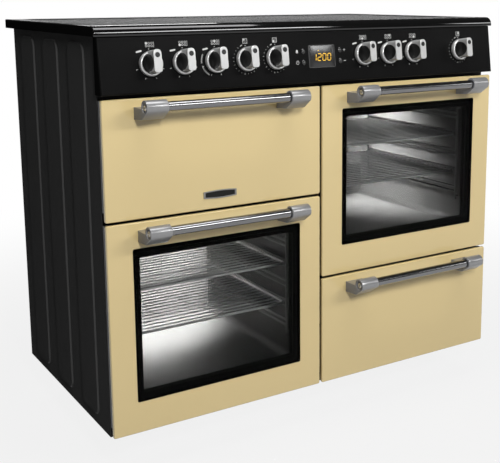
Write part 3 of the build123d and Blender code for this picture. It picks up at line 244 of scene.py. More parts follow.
# Shelves and side racks: steel wire, welded and chromium plated.
# The racks hang on pegs in the oven walls and the shelves slide between their wires.
chrome_wire = new_finish(
    "chrome_wire", (0.34, 0.34, 0.34), (0.40, 0.40, 0.40), 60, 0.3, 0.36, 900, 0.000004, Metallic=1.0,
)
dress(chrome_wire, "oven_shelves")
# The racks take a near-black copy of the chrome: painted shade that dims them and their reflections inside
# the oven
rack_wire_painted_shade = new_finish(
    "rack_wire_painted_shade", (0.08, 0.08, 0.08), (0.11, 0.11, 0.11), 60, 0.3, 0.4, 900, 0.000004, Metallic=1.0,
)
dress(rack_wire_painted_shade, "shelf_racks")

# Door seals: a woven heat-proof cord let into the front of each oven mouth, dark grey.
# The weave is too fine to model and shows as a close relief.
seal_cord = new_finish(
    "seal_cord", (0.02, 0.02, 0.02), (0.045, 0.045, 0.043), 400, 0.75, 0.9, 1500, 0.0002,
    Specular_IOR_Level=0.2,
)
dress(seal_cord, "door_seals")

# Oven lamps: a frosted glass jar in a steel collar, high on the rear wall of each oven, to the right.
# They are lit. Each light stands a little in front of its jar, and is as soft as frosted glass makes it.
FACE = -262.5
LEFT_X = -248.5
RIGHT_X = 248.5
OVEN_REAR = 459.5


def turn(shape, profile, steps=48):
    """Profile of (radius, height) turned about the local third axis, closed unless it meets the axis."""
    rings = []
    for radius, height in profile:
        if radius < 1e-9:
            rings.append([shape.verts.new((0, 0, height * MM))])
            continue
        ring = []
        for k in range(steps):
            angle = 2 * math.pi * k / steps
            spot_at = (radius * MM * math.cos(angle), radius * MM * math.sin(angle), height * MM)
            ring.append(shape.verts.new(spot_at))
        rings.append(ring)
    pairs = list(zip(rings, rings[1:]))
    if len(rings[0]) > 1:
        pairs.append((rings[-1], rings[0]))
    for one, two in pairs:
        for k in range(steps):
            corners = []
            for ring, spot_k in ((one, k), (one, k + 1), (two, k + 1), (two, k)):
                corner = ring[spot_k % len(ring)]
                if corner not in corners:
                    corners.append(corner)
            if len(corners) > 2:
                shape.faces.new(corners)


def new_mesh(shape, name, materials, crease=35):
    bmesh.ops.recalc_face_normals(shape, faces=shape.faces)
    mesh = bpy.data.meshes.new(name)
    shape.to_mesh(mesh)
    shape.free()
    for material in materials:
        mesh.materials.append(material)
    for face in mesh.polygons:
        face.use_smooth = True
    mesh.set_sharp_from_angle(angle=math.radians(crease))
    return mesh


def place_piece(mesh, name, body, place=None):
    piece = bpy.data.objects.new(name, mesh)
    bpy.context.scene.collection.objects.link(piece)
    if place is not None:
        piece.matrix_world = place
    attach(piece, body)
    return piece


def front_place(x, depth, z):
    """Local axes right, up and out of the front, at a depth behind the door faces."""
    turned = Matrix(((1, 0, 0, 0), (0, 0, -1, 0), (0, 1, 0, 0), (0, 0, 0, 1)))
    return Matrix.Translation((x * MM, (FACE + depth) * MM, z * MM)) @ turned


lamp_glass = new_finish(
    "lamp_glass", (0.85, 0.85, 0.83), (0.9, 0.9, 0.88), 40, 0.3, 0.45, 500, 0.00002,
    Emission_Color=(1.0, 0.97, 0.92, 1), Emission_Strength=3.0,
)
JAR_LONG = 44.0
LAMP_CONE = 130.0
LIGHT_ROUND = 50.0
jar = bmesh.new()
turn(jar, [(0, JAR_LONG), (6, 43.4), (10.5, 41), (13.4, 37), (14.5, 31), (14.5, 4), (0, 4)])
jar_mesh = new_mesh(jar, "lamp_jar", [lamp_glass])
collar = bmesh.new()
turn(collar, [(14.8, 0.2), (19, 0.2), (20, 1.5), (20, 6), (18.5, 8), (16, 8), (14.8, 6.5)])
collar_mesh = new_mesh(collar, "lamp_collar", [fan_steel])
# Each row: oven, place of the jar on the rear wall, place of its light, point that is aimed at, power
LAMPS = [
    ("main", (LEFT_X + 150, 428), (LEFT_X + 130, 345, 440), (LEFT_X - 4, 466, 286), 440),
    ("right", (RIGHT_X + 100, 692), (RIGHT_X + 40, 390, 690), (RIGHT_X + 199, 400, 540), 165),
]
for oven, (lamp_x, lamp_z), (light_x, light_depth, light_z), (aim_x, aim_depth, aim_z), power in LAMPS:
    lamp_place = front_place(lamp_x, OVEN_REAR, lamp_z)
    place_piece(jar_mesh, oven + "_oven_lamp", "cabinet", lamp_place)
    place_piece(collar_mesh, oven + "_oven_lamp_collar", "cabinet", lamp_place)
    shine = bpy.data.lights.new(oven + "_oven_light", "SPOT")
    shine.energy = power
    shine.spot_size = math.radians(LAMP_CONE)
    shine.spot_blend = 1.0
    shine.shadow_soft_size = LIGHT_ROUND * MM
    shine_at = Vector((light_x, FACE + light_depth, light_z)) * MM
    bulb = bpy.data.objects.new(oven + "_oven_light", shine)
    bulb.location = shine_at
    bulb.visible_camera = False
    bulb.visible_glossy = False
    bulb.visible_transmission = False
    bulb.rotation_mode = "QUATERNION"
    aim_at = Vector((aim_x, FACE + aim_depth, aim_z)) * MM
    bulb.rotation_quaternion = (aim_at - shine_at).to_track_quat("-Z", "Y")
    bpy.context.scene.collection.objects.link(bulb)

# Hob: a black enamelled frame with a rounded edge, and one sheet of black ceramic glass in it.
# The cooking zones are printed on the glass as fine grey rings.
hob_enamel = new_finish(
    "hob_enamel", (0.002, 0.002, 0.002), (0.003, 0.003, 0.003), 8, 0.04, 0.06, 700, 0.000001,
    Specular_IOR_Level=0.6,
)
hob_ceramic = new_finish(
    "hob_ceramic", (0.004, 0.004, 0.004), (0.006, 0.006, 0.006), 10, 0.11, 0.12, 900, 0.0000002,
    fleck=(900, 0.1, (0.03, 0.03, 0.03), "Mask"), Specular_IOR_Level=0.2,
)
end_paint = new_finish(
    "end_paint", (0.007, 0.007, 0.007), (0.010, 0.010, 0.010), 8, 0.5, 0.6, 700, 0.000002,
    Specular_IOR_Level=0.0,
)
dress(hob_enamel, "hob_frame")
dress_where(end_paint, lambda normal: abs(normal.x) > 0.95, "hob_frame")
dress(hob_ceramic, "hob_glass")


def loop_at(shape, outline, height):
    return [shape.verts.new((u * MM, v * MM, height * MM)) for u, v in outline]


def slab(shape, outline, low, high):
    """Closed slab with an outline in the local first and second axes; gives its top corners."""
    bottom = loop_at(shape, outline, low)
    top = loop_at(shape, outline, high)
    shape.faces.new(list(reversed(bottom)))
    shape.faces.new(top)
    for k in range(len(outline)):
        j = (k + 1) % len(outline)
        shape.faces.new((bottom[k], bottom[j], top[j], top[k]))
    return top


def chain_slab(shape, chain):
    """Closed ring through outlines with the same number of points, each at its level."""
    walls = [loop_at(shape, line, level) for line, level in chain]
    for k in range(len(walls[0])):
        j = (k + 1) % len(walls[0])
        for one, two in zip(walls, walls[1:] + walls[:1]):
            shape.faces.new((one[k], one[j], two[j], two[k]))


def ring_slab(shape, outer, inner, low, high):
    """Closed flat ring between two outlines."""
    chain_slab(shape, [(outer, low), (outer, high), (inner, high), (inner, low)])


def polar(centre, radius, angle):
    away = math.radians(angle)
    return (centre[0] + radius * math.cos(away), centre[1] + radius * math.sin(away))


def circle(centre, radius, steps=40, start=0.0, sweep=360.0):
    """Points of a whole circle, or of an arc with both its ends."""
    count = steps if sweep == 360.0 else steps + 1
    return [polar(centre, radius, start + sweep * k / steps) for k in range(count)]


HOB_MIDDLE = 35.0
ZONE_ROW = 125.75
ZONE_COLUMN = 313.3
# Each row: across, back from the middle of the hob, radius
ZONES = [
    (-ZONE_COLUMN, -ZONE_ROW, 90), (0, -ZONE_ROW, 72.5), (ZONE_COLUMN, -ZONE_ROW, 72.5),
    (-ZONE_COLUMN, ZONE_ROW, 72.5), (0, ZONE_ROW, 105), (ZONE_COLUMN, ZONE_ROW, 90),
]
ZONE_LEVELS = (899.02, 899.12)
# Printed lines of a zone: inset from its edge, and width
ZONE_LINES = [(0.0, 1.6), (5.0, 0.7)]
ZONE_DOT_AWAY = 5.0
ZONE_DOT_ROUND = 1.2
zone_ink = new_finish(
    "zone_ink", (0.16, 0.16, 0.165), (0.22, 0.22, 0.225), 60, 0.35, 0.5, 900, 0.00001,
    Specular_IOR_Level=0.3,
)
zones = bmesh.new()
for x, y, radius in ZONES:
    middle = (x, HOB_MIDDLE + y)
    for inset, width in ZONE_LINES:
        outer = radius - inset
        ring_slab(zones, circle(middle, outer, 96), circle(middle, outer - width, 96), *ZONE_LEVELS)
    for angle in (45, 135, 225, 315):
        tip = polar(middle, radius + ZONE_DOT_AWAY, angle)
        slab(zones, circle(tip, ZONE_DOT_ROUND, 16), *ZONE_LEVELS)
place_piece(new_mesh(zones, "hob_zone_rings", [zone_ink]), "hob_zone_rings", "cabinet")

# Control panel: a leaning black enamelled pressing across the front, under the hob.
# Its marks are screen printed in off-white: zone plans, compartment plans, signs, dots and ticks.
panel_enamel = new_finish(
    "panel_enamel", (0.0045, 0.0045, 0.0045), (0.006, 0.006, 0.006), 6, 0.28, 0.34, 600, 0.000005,
    Specular_IOR_Level=0.06,
)
dress(panel_enamel, "control_fascia")
dress_where(end_paint, lambda normal: abs(normal.x) > 0.95, "control_fascia")
PANEL_FOOT = (-267.5, 770.5)
PANEL_BACK = 15.0
PANEL_RISE = 108.9
PANEL_SLOPE = math.hypot(PANEL_BACK, PANEL_RISE)
lean = PANEL_BACK / PANEL_SLOPE
rise = PANEL_RISE / PANEL_SLOPE
panel_axes = Matrix(((1, 0, 0, 0), (0, lean, -rise, 0), (0, rise, lean, 0), (0, 0, 0, 1)))
panel_place = Matrix.Translation((0, PANEL_FOOT[0] * MM, PANEL_FOOT[1] * MM)) @ panel_axes
INK_LOW = -0.02
INK_HIGH = 0.1


def ink_bar(shape, start, end, width, low=INK_LOW, high=INK_HIGH):
    """Printed line with pointed ends."""
    run = Vector((end[0] - start[0], end[1] - start[1])).normalized()
    side = Vector((-run.y, run.x)) * width / 2
    tip = run * width / 2
    a = Vector(start)
    b = Vector(end)
    outline = (a - tip, a - side, b - side, b + tip, b + side, a + side)
    slab(shape, [tuple(point) for point in outline], low, high)


def ink_dot(shape, centre, radius):
    slab(shape, circle(centre, radius, 20), INK_LOW, INK_HIGH)


def ink_ring(shape, centre, radius, width, steps=28):
    outside = circle(centre, radius, steps)
    inside = circle(centre, radius - width, steps)
    ring_slab(shape, outside, inside, INK_LOW, INK_HIGH)


def ink_arc(shape, centre, radius, width, start, sweep, steps=24):
    outside = circle(centre, radius, steps, start, sweep)
    inside = circle(centre, radius - width, steps, start, sweep)
    slab(shape, outside + list(reversed(inside)), INK_LOW, INK_HIGH)


def box_line(low, high):
    return [low, (high[0], low[1]), high, (low[0], high[1])]


def ink_box(shape, low, high, width):
    corners = box_line(low, high)
    for one, two in zip(corners, corners[1:] + corners[:1]):
        ink_bar(shape, one, two, width)


panel_ink = new_finish(
    "panel_ink", (0.52, 0.52, 0.51), (0.62, 0.62, 0.61), 200, 0.4, 0.55, 900, 0.00001,
    Specular_IOR_Level=0.3,
)
KNOB_UP = 56.0
# Each row: place across, and the column and row of the zone that the knob works
HOB_KNOBS = {
    "hob_knob_1": (-392, (0, 1)), "hob_knob_2": (-322, (0, 0)), "hob_knob_3": (-252, (1, 1)),
    "hob_knob_4": (112, (1, 0)), "hob_knob_5": (182, (2, 1)), "hob_knob_6": (252, (2, 0)),
}
PLAN_AT = (1, 37)
PLAN_COLUMN = 5.6
PLAN_ROW = 5.2
BRACKET_AT = 10
BRACKET_HALF = 4.6
BRACKET_TURN = 1.4
THIN_LINE = 0.7
TICK_FROM = 28
OFF_DOT_AT = 28.5
OFF_DOT_ROUND = 0.9
marks = bmesh.new()
for x, worked in HOB_KNOBS.values():
    middle = (x, KNOB_UP)
    plan = (x + PLAN_AT[0], KNOB_UP + PLAN_AT[1])
    for column in range(3):
        for row in range(2):
            spot_at = (plan[0] + (column - 1) * PLAN_COLUMN, plan[1] + (row - 0.5) * PLAN_ROW)
            if (column, row) == worked:
                ink_dot(marks, spot_at, 2.5)
            else:
                ink_ring(marks, spot_at, 2.2, THIN_LINE)
    bracket_u = plan[0] + BRACKET_AT
    bracket_ends = (plan[1] - BRACKET_HALF, plan[1] + BRACKET_HALF)
    ink_bar(marks, (bracket_u, bracket_ends[0]), (bracket_u, bracket_ends[1]), THIN_LINE)
    for end in bracket_ends:
        ink_bar(marks, (bracket_u - BRACKET_TURN, end), (bracket_u, end), THIN_LINE)
    ink_dot(marks, polar(middle, OFF_DOT_AT, 90), OFF_DOT_ROUND)
    for angle in (200, 248, 292, 340):
        ink_bar(marks, polar(middle, TICK_FROM, angle), polar(middle, 30.2, angle), 1.1)
    ink_bar(marks, (x - 25.5, KNOB_UP + 23.6), (x - 16.0, KNOB_UP + 25.4), 3.4)
# Double arcs round the left side of the third hob knob
arc_middle = (HOB_KNOBS["hob_knob_3"][0], KNOB_UP)
for angle, sweep in ((152, 34), (196, 44)):
    ink_arc(marks, arc_middle, 31.6, 0.8, angle, sweep)
    ink_arc(marks, arc_middle, 29.8, 0.5, angle, sweep)
# Each row: place across, and the compartment that the knob works
OVEN_KNOBS = {
    "grill_knob": (-182, "grill"), "main_oven_knob": (-112, "main"), "right_oven_knob": (392, "right"),
}
# Compartments on a plan of the front: left, low, right and high edge
COMPARTMENTS = {
    "grill": (0.6, 6.0, 4.6, 9.4), "main": (0.6, 0.6, 4.6, 5.2),
    "right": (5.4, 4.2, 9.4, 9.4), "drawer": (5.4, 0.6, 9.4, 3.4),
}
FRONT_PLAN = 10
FRONT_PLAN_UP = 32.5
FINE_INSET = 0.5
for x, worked in OVEN_KNOBS.values():
    middle = (x, KNOB_UP)
    corner = (x - FRONT_PLAN / 2, KNOB_UP + FRONT_PLAN_UP)
    ink_box(marks, corner, (corner[0] + FRONT_PLAN, corner[1] + FRONT_PLAN), 0.6)
    for name, (u0, v0, u1, v1) in COMPARTMENTS.items():
        low = (corner[0] + u0, corner[1] + v0)
        high = (corner[0] + u1, corner[1] + v1)
        if name == worked:
            slab(marks, box_line(low, high), INK_LOW, INK_HIGH)
        else:
            inside_low = (low[0] + FINE_INSET, low[1] + FINE_INSET)
            inside_high = (high[0] - FINE_INSET, high[1] - FINE_INSET)
            ink_box(marks, inside_low, inside_high, 0.35)
    ink_dot(marks, polar(middle, OFF_DOT_AT, 90), OFF_DOT_ROUND)
    for step in range(15):
        angle = 125 + 15 * step
        reach = 30.6 if step % 3 == 0 else 29.4
        ink_bar(marks, polar(middle, TICK_FROM, angle), polar(middle, reach, angle), THIN_LINE)
    ink_bar(marks, polar(middle, 29.5, 112), polar(middle, 30.5, 104), 1.4)
# Timer signs: a bell and a clock beside the left buttons, plus and minus beside the right ones
TIMER_X = 3.0
BUTTON_ROW = 11.6
SIGN_LEFT = TIMER_X - 62
SIGN_RIGHT = TIMER_X + 59
SIGN_HALF = 2.6
SIGN_LINE = 1.1
bell_at = (SIGN_LEFT, KNOB_UP + BUTTON_ROW)
bell_right = [(3.6, -2.2), (2.6, -0.8), (2.4, 1.4), (1.4, 3.0), (0.4, 3.6)]
bell_side = bell_right + [(-u, v) for u, v in reversed(bell_right)]
slab(marks, [(bell_at[0] + u, bell_at[1] + v) for u, v in bell_side], INK_LOW, INK_HIGH)
ink_dot(marks, (bell_at[0], bell_at[1] - 3.3), 0.9)
clock_at = (SIGN_LEFT, KNOB_UP - BUTTON_ROW)
ink_ring(marks, clock_at, 4.0, 0.8)
for hand_u, hand_v in ((0, 2.4), (1.8, -0.6)):
    ink_bar(marks, clock_at, (clock_at[0] + hand_u, clock_at[1] + hand_v), THIN_LINE)
plus_up = KNOB_UP + BUTTON_ROW
for level in (plus_up, KNOB_UP - BUTTON_ROW):
    ink_bar(marks, (SIGN_RIGHT - SIGN_HALF, level), (SIGN_RIGHT + SIGN_HALF, level), SIGN_LINE)
ink_bar(marks, (SIGN_RIGHT, plus_up - SIGN_HALF), (SIGN_RIGHT, plus_up + SIGN_HALF), SIGN_LINE)
marks_mesh = new_mesh(marks, "panel_marks", [panel_ink])
place_piece(marks_mesh, "panel_marks", "cabinet", panel_place)

# Timer: a dark, slightly domed window in a thin black bezel, with amber figures lit at its face.
# Four domed black buttons beside it set the clock; each is sprung in its own hole.
def rounded(width, height, radius, centre=(0, 0), steps=6):
    points = []
    for side_u, side_v, start in ((1, 1, 0), (-1, 1, 90), (-1, -1, 180), (1, -1, 270)):
        corner = (centre[0] + side_u * (width / 2 - radius), centre[1] + side_v * (height / 2 - radius))
        points += circle(corner, radius, steps, start, 90)
    return points


lens_glass = new_finish(
    "lens_glass", (0.003, 0.003, 0.003), (0.005, 0.005, 0.005), 30, 0.22, 0.26, 900, 0.000001,
    Specular_IOR_Level=0.8,
)
LENS_WIDTH = 64.0
LENS_HEIGHT = 45.0
LENS_EDGE = 0.3
LENS_CROWN = 1.8


def lens_rise(u, v):
    """Height of the domed lens above the panel, u and v from its middle."""
    across = 1 - (2 * u / LENS_WIDTH) ** 4
    along = 1 - (2 * v / LENS_HEIGHT) ** 2
    return LENS_EDGE + LENS_CROWN * max(0.0, across) * max(0.0, along)


def join_grids(shape, front, back):
    """Closed sheet between two grids of corners with as many rows and columns."""
    rows = len(front) - 1
    columns = len(front[0]) - 1
    for grid in (front, back):
        for i in range(rows):
            for k in range(columns):
                shape.faces.new((grid[i][k], grid[i + 1][k], grid[i + 1][k + 1], grid[i][k + 1]))
    rim = [(i, 0) for i in range(rows)] + [(rows, k) for k in range(columns)]
    rim += [(i, columns) for i in range(rows, 0, -1)] + [(0, k) for k in range(columns, 0, -1)]
    for (i, k), (j, m) in zip(rim, rim[1:] + rim[:1]):
        shape.faces.new((front[i][k], front[j][m], back[j][m], back[i][k]))


dome = bmesh.new()
LENS_STEPS = 24
LENS_BACK = -2.5
sheets = []
for top in (True, False):
    sheet = []
    for i in range(LENS_STEPS + 1):
        u = LENS_WIDTH * (i / LENS_STEPS - 0.5)
        row = []
        for k in range(LENS_STEPS + 1):
            v = LENS_HEIGHT * (k / LENS_STEPS - 0.5)
            height = lens_rise(u, v) if top else LENS_BACK
            row.append(dome.verts.new(((TIMER_X + u) * MM, (KNOB_UP + v) * MM, height * MM)))
        sheet.append(row)
    sheets.append(sheet)
join_grids(dome, *sheets)
lens_mesh = new_mesh(dome, "timer_window", [lens_glass])
lens_piece = place_piece(lens_mesh, "timer_window", "cabinet", panel_place)
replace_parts(lens_piece, "timer_lens")
BEZEL_RIM = 3.4
BEZEL_GAP = 0.1
timer_at = (TIMER_X, KNOB_UP)
bezel_outside = rounded(LENS_WIDTH + BEZEL_RIM, LENS_HEIGHT + BEZEL_RIM, 3, timer_at)
bezel_inside = rounded(LENS_WIDTH + BEZEL_GAP, LENS_HEIGHT + BEZEL_GAP, 1.0, timer_at)
bezel = bmesh.new()
ring_slab(bezel, bezel_outside, bezel_inside, -0.2, 0.8)
bezel_plastic = new_finish(
    "bezel_plastic", (0.03, 0.03, 0.03), (0.04, 0.04, 0.04), 30, 0.28, 0.36, 1200, 0.000002,
    Specular_IOR_Level=0.6,
)
bezel_mesh = new_mesh(bezel, "timer_bezel", [bezel_plastic])
place_piece(bezel_mesh, "timer_bezel", "cabinet", panel_place)
amber = new_finish(
    "amber_figures", (0.55, 0.30, 0.02), (0.62, 0.36, 0.03), 90, 0.4, 0.5, 900, 0.000005,
    Emission_Color=(1.0, 0.58, 0.04, 1), Emission_Strength=0.6,
)
# Strokes of a figure, each from one corner to another of a unit box
SEGMENTS = {
    "a": (0, 1, 1, 1), "b": (1, 0.5, 1, 1), "c": (1, 0, 1, 0.5), "d": (0, 0, 1, 0),
    "e": (0, 0, 0, 0.5), "f": (0, 0.5, 0, 1), "g": (0, 0.5, 1, 0.5),
}
FIGURES = [("bc", -20.0), ("abged", -7.4), ("abcdef", 5.2), ("abcdef", 17.8)]
FIGURE_FOOT = 0.1
FIGURE_TOP = 1.0
FIGURE_PROUD = 0.06
FIGURE_WIDE = 8.2
FIGURE_HIGH = 14.4
FIGURE_SLANT = 1.2
FIGURE_DROP = 2
STROKE_GAP = 1.2
STROKE_WIDTH = 1.7
figures = bmesh.new()
for lit, across in FIGURES:
    for key in lit:
        u0, v0, u1, v1 = SEGMENTS[key]
        ends = []
        for u, v in ((u0, v0), (u1, v1)):
            end_u = TIMER_X + across + (u - 0.5) * FIGURE_WIDE + (v - 0.5) * FIGURE_SLANT
            end_v = KNOB_UP - FIGURE_DROP + (v - 0.5) * FIGURE_HIGH
            ends.append(Vector((end_u, end_v)))
        gap = (ends[1] - ends[0]).normalized() * STROKE_GAP
        stroke = (tuple(ends[0] + gap), tuple(ends[1] - gap))
        ink_bar(figures, *stroke, STROKE_WIDTH, FIGURE_FOOT, FIGURE_TOP)
LIT_BELL = 0.4
lit_bell_at = (TIMER_X - 9, KNOB_UP + 12.0)
lit_bell = [(lit_bell_at[0] + LIT_BELL * u, lit_bell_at[1] + LIT_BELL * v) for u, v in bell_side]
slab(figures, lit_bell, FIGURE_FOOT, FIGURE_TOP)
# The faces of the figures follow the domed window
for corner in figures.verts:
    if corner.co.z > FIGURE_TOP / 2 * MM:
        rise_here = lens_rise(corner.co.x / MM - TIMER_X, corner.co.y / MM - KNOB_UP)
        corner.co.z = (rise_here + FIGURE_PROUD) * MM
figures_mesh = new_mesh(figures, "timer_figures", [amber])
place_piece(figures_mesh, "timer_figures", "cabinet", panel_place)
button_gloss = new_finish(
    "button_gloss", (0.008, 0.008, 0.008), (0.012, 0.012, 0.012), 80, 0.14, 0.2, 900, 0.000002,
    Specular_IOR_Level=0.6,
)
BUTTON_ROUND = 5.5
BUTTON_CAP = 7.4
BUTTON_PROUD = 4.0
BUTTON_FLANGE = 7.0
DOME_STEPS = 8
button_line = []
for step in range(DOME_STEPS + 1):
    radius = BUTTON_ROUND * step / DOME_STEPS
    button_line.append((radius, BUTTON_PROUD - BUTTON_CAP + math.sqrt(BUTTON_CAP ** 2 - radius ** 2)))
button_line += [(BUTTON_ROUND, -1.6), (BUTTON_FLANGE, -1.6), (BUTTON_FLANGE, -2.9), (0, -2.9)]
button = bmesh.new()
turn(button, button_line, 40)
button_mesh = new_mesh(button, "timer_button_cap", [button_gloss])
BUTTON_AWAY = 47.0
BUTTONS = [(side * BUTTON_AWAY, level * BUTTON_ROW) for side in (-1, 1) for level in (1, -1)]
for number, (across, above) in enumerate(BUTTONS, start=1):
    name = "timer_button_%d" % number
    at = panel_place @ Matrix.Translation(((TIMER_X + across) * MM, (KNOB_UP + above) * MM, 0))
    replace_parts(place_piece(button_mesh, name + "_cap", name, at), name)

# Knobs: a silver body with a bulging round skirt and a tall grip bar, and a black insert that
# dishes the skirt and scoops both sides of the bar. A black dot marks the bar. Push fit on spindles.
knob_silver = new_finish(
    "knob_silver", (0.62, 0.62, 0.615), (0.66, 0.66, 0.655), 60, 0.28, 0.30, 1500, 0.000002, Metallic=0.5,
)
knob_black = new_finish(
    "knob_black", (0.007, 0.007, 0.007), (0.010, 0.010, 0.010), 90, 0.28, 0.36, 1500, 0.000002,
    Specular_IOR_Level=0.45,
)
GRIP_HALF = 8.0
GRIP_TOP = 25.0
GRIP_FOOT = -18.0
GRIP_OUT = 39.0
GRIP_TOP_CORNER = 6.5
GRIP_FOOT_CORNER = 4
SKIRT_STEPS = 14
silver = bmesh.new()
skirt = [(18.5, 1.2), (22.6, 1.0), (23.5, 1.6), (23.9, 3.0)]
for step in range(SKIRT_STEPS + 1):
    angle = math.radians(180 * step / SKIRT_STEPS)
    skirt.append((21.25 + 2.75 * math.cos(angle), 5.5 + 5.5 * math.sin(angle)))
turn(silver, skirt, 72)
grip_line = []
for side, start in ((1, 0), (-1, 90)):
    corner = (side * (GRIP_HALF - GRIP_TOP_CORNER), GRIP_TOP - GRIP_TOP_CORNER)
    grip_line += circle(corner, GRIP_TOP_CORNER, 8, start, 90)
for side, start in ((-1, 180), (1, 270)):
    corner = (side * (GRIP_HALF - GRIP_FOOT_CORNER), GRIP_FOOT + GRIP_FOOT_CORNER)
    grip_line += circle(corner, GRIP_FOOT_CORNER, 6, start, 90)
grip_front = slab(silver, grip_line, 2.0, GRIP_OUT)
edges = [edge for edge in silver.edges if edge.verts[0] in grip_front and edge.verts[1] in grip_front]
bmesh.ops.bevel(silver, geom=edges, offset=1.1 * MM, segments=3, profile=0.5, affect="EDGES")
silver.normal_update()
near_front = (GRIP_OUT - 0.5) * MM
flat = [
    face for face in silver.faces
    if face.normal.z > 0.999 and face.calc_center_median().z > near_front
]
bmesh.ops.inset_region(silver, faces=flat, thickness=0.4 * MM)
silver_mesh = new_mesh(silver, "knob_silver_body", [knob_silver], 40)
black = bmesh.new()
turn(black, [(0, 5.2), (8, 5.4), (13.5, 6.3), (17.4, 8.2), (18.9, 9.2), (18.9, 3), (0, 3)], 64)
# Leaves of the insert: arched, on both sides of the bar, flaring out at the foot
LEAF_LONG = 35.6
LEAF_MIDDLE = 1.0
LEAF_FOOT = 6.0
LEAF_SPRING = 8.0
LEAF_ARCH = 29.6
LEAF_FLARE = 3.2
LEAF_SUNK = 0.1
LEAF_PROUD = 0.35
LEAF_ROWS = 16
LEAF_COLUMNS = 8
for side in (-1, 1):
    skins = []
    for lift in (0.0, LEAF_PROUD):
        grid = []
        for i in range(LEAF_ROWS + 1):
            along = 2 * i / LEAF_ROWS - 1
            v = LEAF_MIDDLE + along * LEAF_LONG / 2
            top_w = LEAF_SPRING + LEAF_ARCH * math.sqrt(max(0.0, 1 - along * along))
            line = []
            for k in range(LEAF_COLUMNS + 1):
                share = k / LEAF_COLUMNS
                u = side * (GRIP_HALF - LEAF_SUNK + lift + LEAF_FLARE * (1 - share) ** 3)
                w = LEAF_FOOT + (top_w - LEAF_FOOT) * share
                line.append(black.verts.new((u * MM, v * MM, w * MM)))
            grid.append(line)
        skins.append(grid)
    join_grids(black, *skins)
# Stem of the insert, which fits the spindle
turn(black, [(0, 3), (2.9, 3), (2.9, -16), (0, -16)], 24)
black_mesh = new_mesh(black, "knob_black_insert", [knob_black], 40)
dot = bmesh.new()
DOT_DOWN = 10.4
DOT_ROUND = 5.0
slab(dot, circle((0, GRIP_TOP - DOT_DOWN), DOT_ROUND, 32), GRIP_OUT - 0.3, GRIP_OUT + 0.12)
dot_mesh = new_mesh(dot, "knob_dot", [knob_black])
for name, (x, worked) in sorted({**HOB_KNOBS, **OVEN_KNOBS}.items(), key=lambda knob: knob[1][0]):
    knob_place = panel_place @ Matrix.Translation((x * MM, KNOB_UP * MM, 0))
    body_piece = place_piece(silver_mesh, name + "_body", name, knob_place)
    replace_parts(body_piece, name)
    place_piece(black_mesh, name + "_insert", name, knob_place)
    place_piece(dot_mesh, name + "_dot", name, knob_place)

# Door and drawer fronts: pressed steel panels with softly rounded edges, cream vitreous enamel.
# The enamel is glossy, a touch uneven in tone, with the faint ripple of a fired coat.
cream = new_finish(
    "cream_enamel", (0.715, 0.562, 0.276), (0.745, 0.589, 0.295), 3.2, 0.04, 0.07, 90, 0.000004,
    Specular_IOR_Level=0.5,
)
dress(cream, "grill_door_skin", "main_door_skin", "right_door_skin", "drawer_front")

# Oven door panes: two sheets of faintly tinted glass, the outer one held behind the panel.
# A black ceramic border, printed on the back of the outer pane, hides the pan edges, and a thin
# black trim clips round the cut edge of the opening.
glass = new_finish(
    "door_glass", (0.86, 0.86, 0.86), (0.88, 0.88, 0.88), 6, 0.0, 0.02, 300, 0.0,
    Transmission_Weight=1.0, IOR=1.08,
)
dress(glass, "main_door_panes", "right_door_panes")
border_ink = new_finish(
    "border_ink", (0.0005, 0.0005, 0.0005), (0.001, 0.001, 0.001), 20, 0.4, 0.55, 800, 0.000005,
    Specular_IOR_Level=0.0,
)
# Each row: door, its middle, its lower edge and its height
OVEN_DOORS = [("main_door", LEFT_X, 88.0, 434.0), ("right_door", RIGHT_X, 337.5, 425.0)]
CLEAR_WIDTH = 354.0
CLEAR_LESS = 152.5
CLEAR_RAISED = 9.5
BORDER_WIDER = 35
PANE_BACK = 5.5
OPENING_WIDTH = 383.9
OPENING_LESS = 122.6
LIP_WIDER = 2
LIP_TALLER = 5
LIP_RAISED = 1.5
LIP_LEVELS = (0.02, 0.3)
TRIM_WALL = 0.8
TRIM_FOOT = -5.2
for door, centre, bottom, height in OVEN_DOORS:
    clear = (CLEAR_WIDTH, height - CLEAR_LESS)
    middle = (0, (height + CLEAR_RAISED) / 2)
    border_outside = rounded(clear[0] + BORDER_WIDER, clear[1] + BORDER_WIDER, 3, middle)
    border = bmesh.new()
    ring_slab(border, border_outside, rounded(*clear, 4, middle), -0.15, -0.05)
    border_mesh = new_mesh(border, door + "_border", [border_ink])
    border_place = front_place(centre, PANE_BACK, bottom)
    place_piece(border_mesh, door + "_glass_border", door, border_place)
    opening = (OPENING_WIDTH, height - OPENING_LESS)
    lip = rounded(opening[0] + LIP_WIDER, opening[1] + LIP_TALLER, 4, (0, middle[1] + LIP_RAISED))
    hole = rounded(opening[0] - TRIM_WALL, opening[1] - TRIM_WALL, 2.6, middle)
    cut_edge = rounded(*opening, 3, middle)
    lip_low, lip_high = LIP_LEVELS
    trim = bmesh.new()
    chain_slab(trim, [
        (lip, lip_low), (lip, lip_high), (hole, lip_high),
        (hole, TRIM_FOOT), (cut_edge, TRIM_FOOT), (cut_edge, lip_low),
    ])
    trim_mesh = new_mesh(trim, door + "_trim", [border_ink])
    place_piece(trim_mesh, door + "_window_trim", door, front_place(centre, 0, bottom))

# Handles: a polished steel tube between two cast alloy mounts in satin silver. The ends of the mounts are
# matt and painted a darker, bluish grey: painted shade, tinted to cancel the cream light bounced from the
# door.
# Each mount has a socket for the tube, a slanted web down to its foot, and a screw in its end.
bar_steel = new_finish(
    "bar_steel", (0.18, 0.18, 0.184), (0.22, 0.22, 0.224), 240, 0.13, 0.2, 900, 0.000002,
    stretch=(0.02, 1, 1), Metallic=1.0,
)
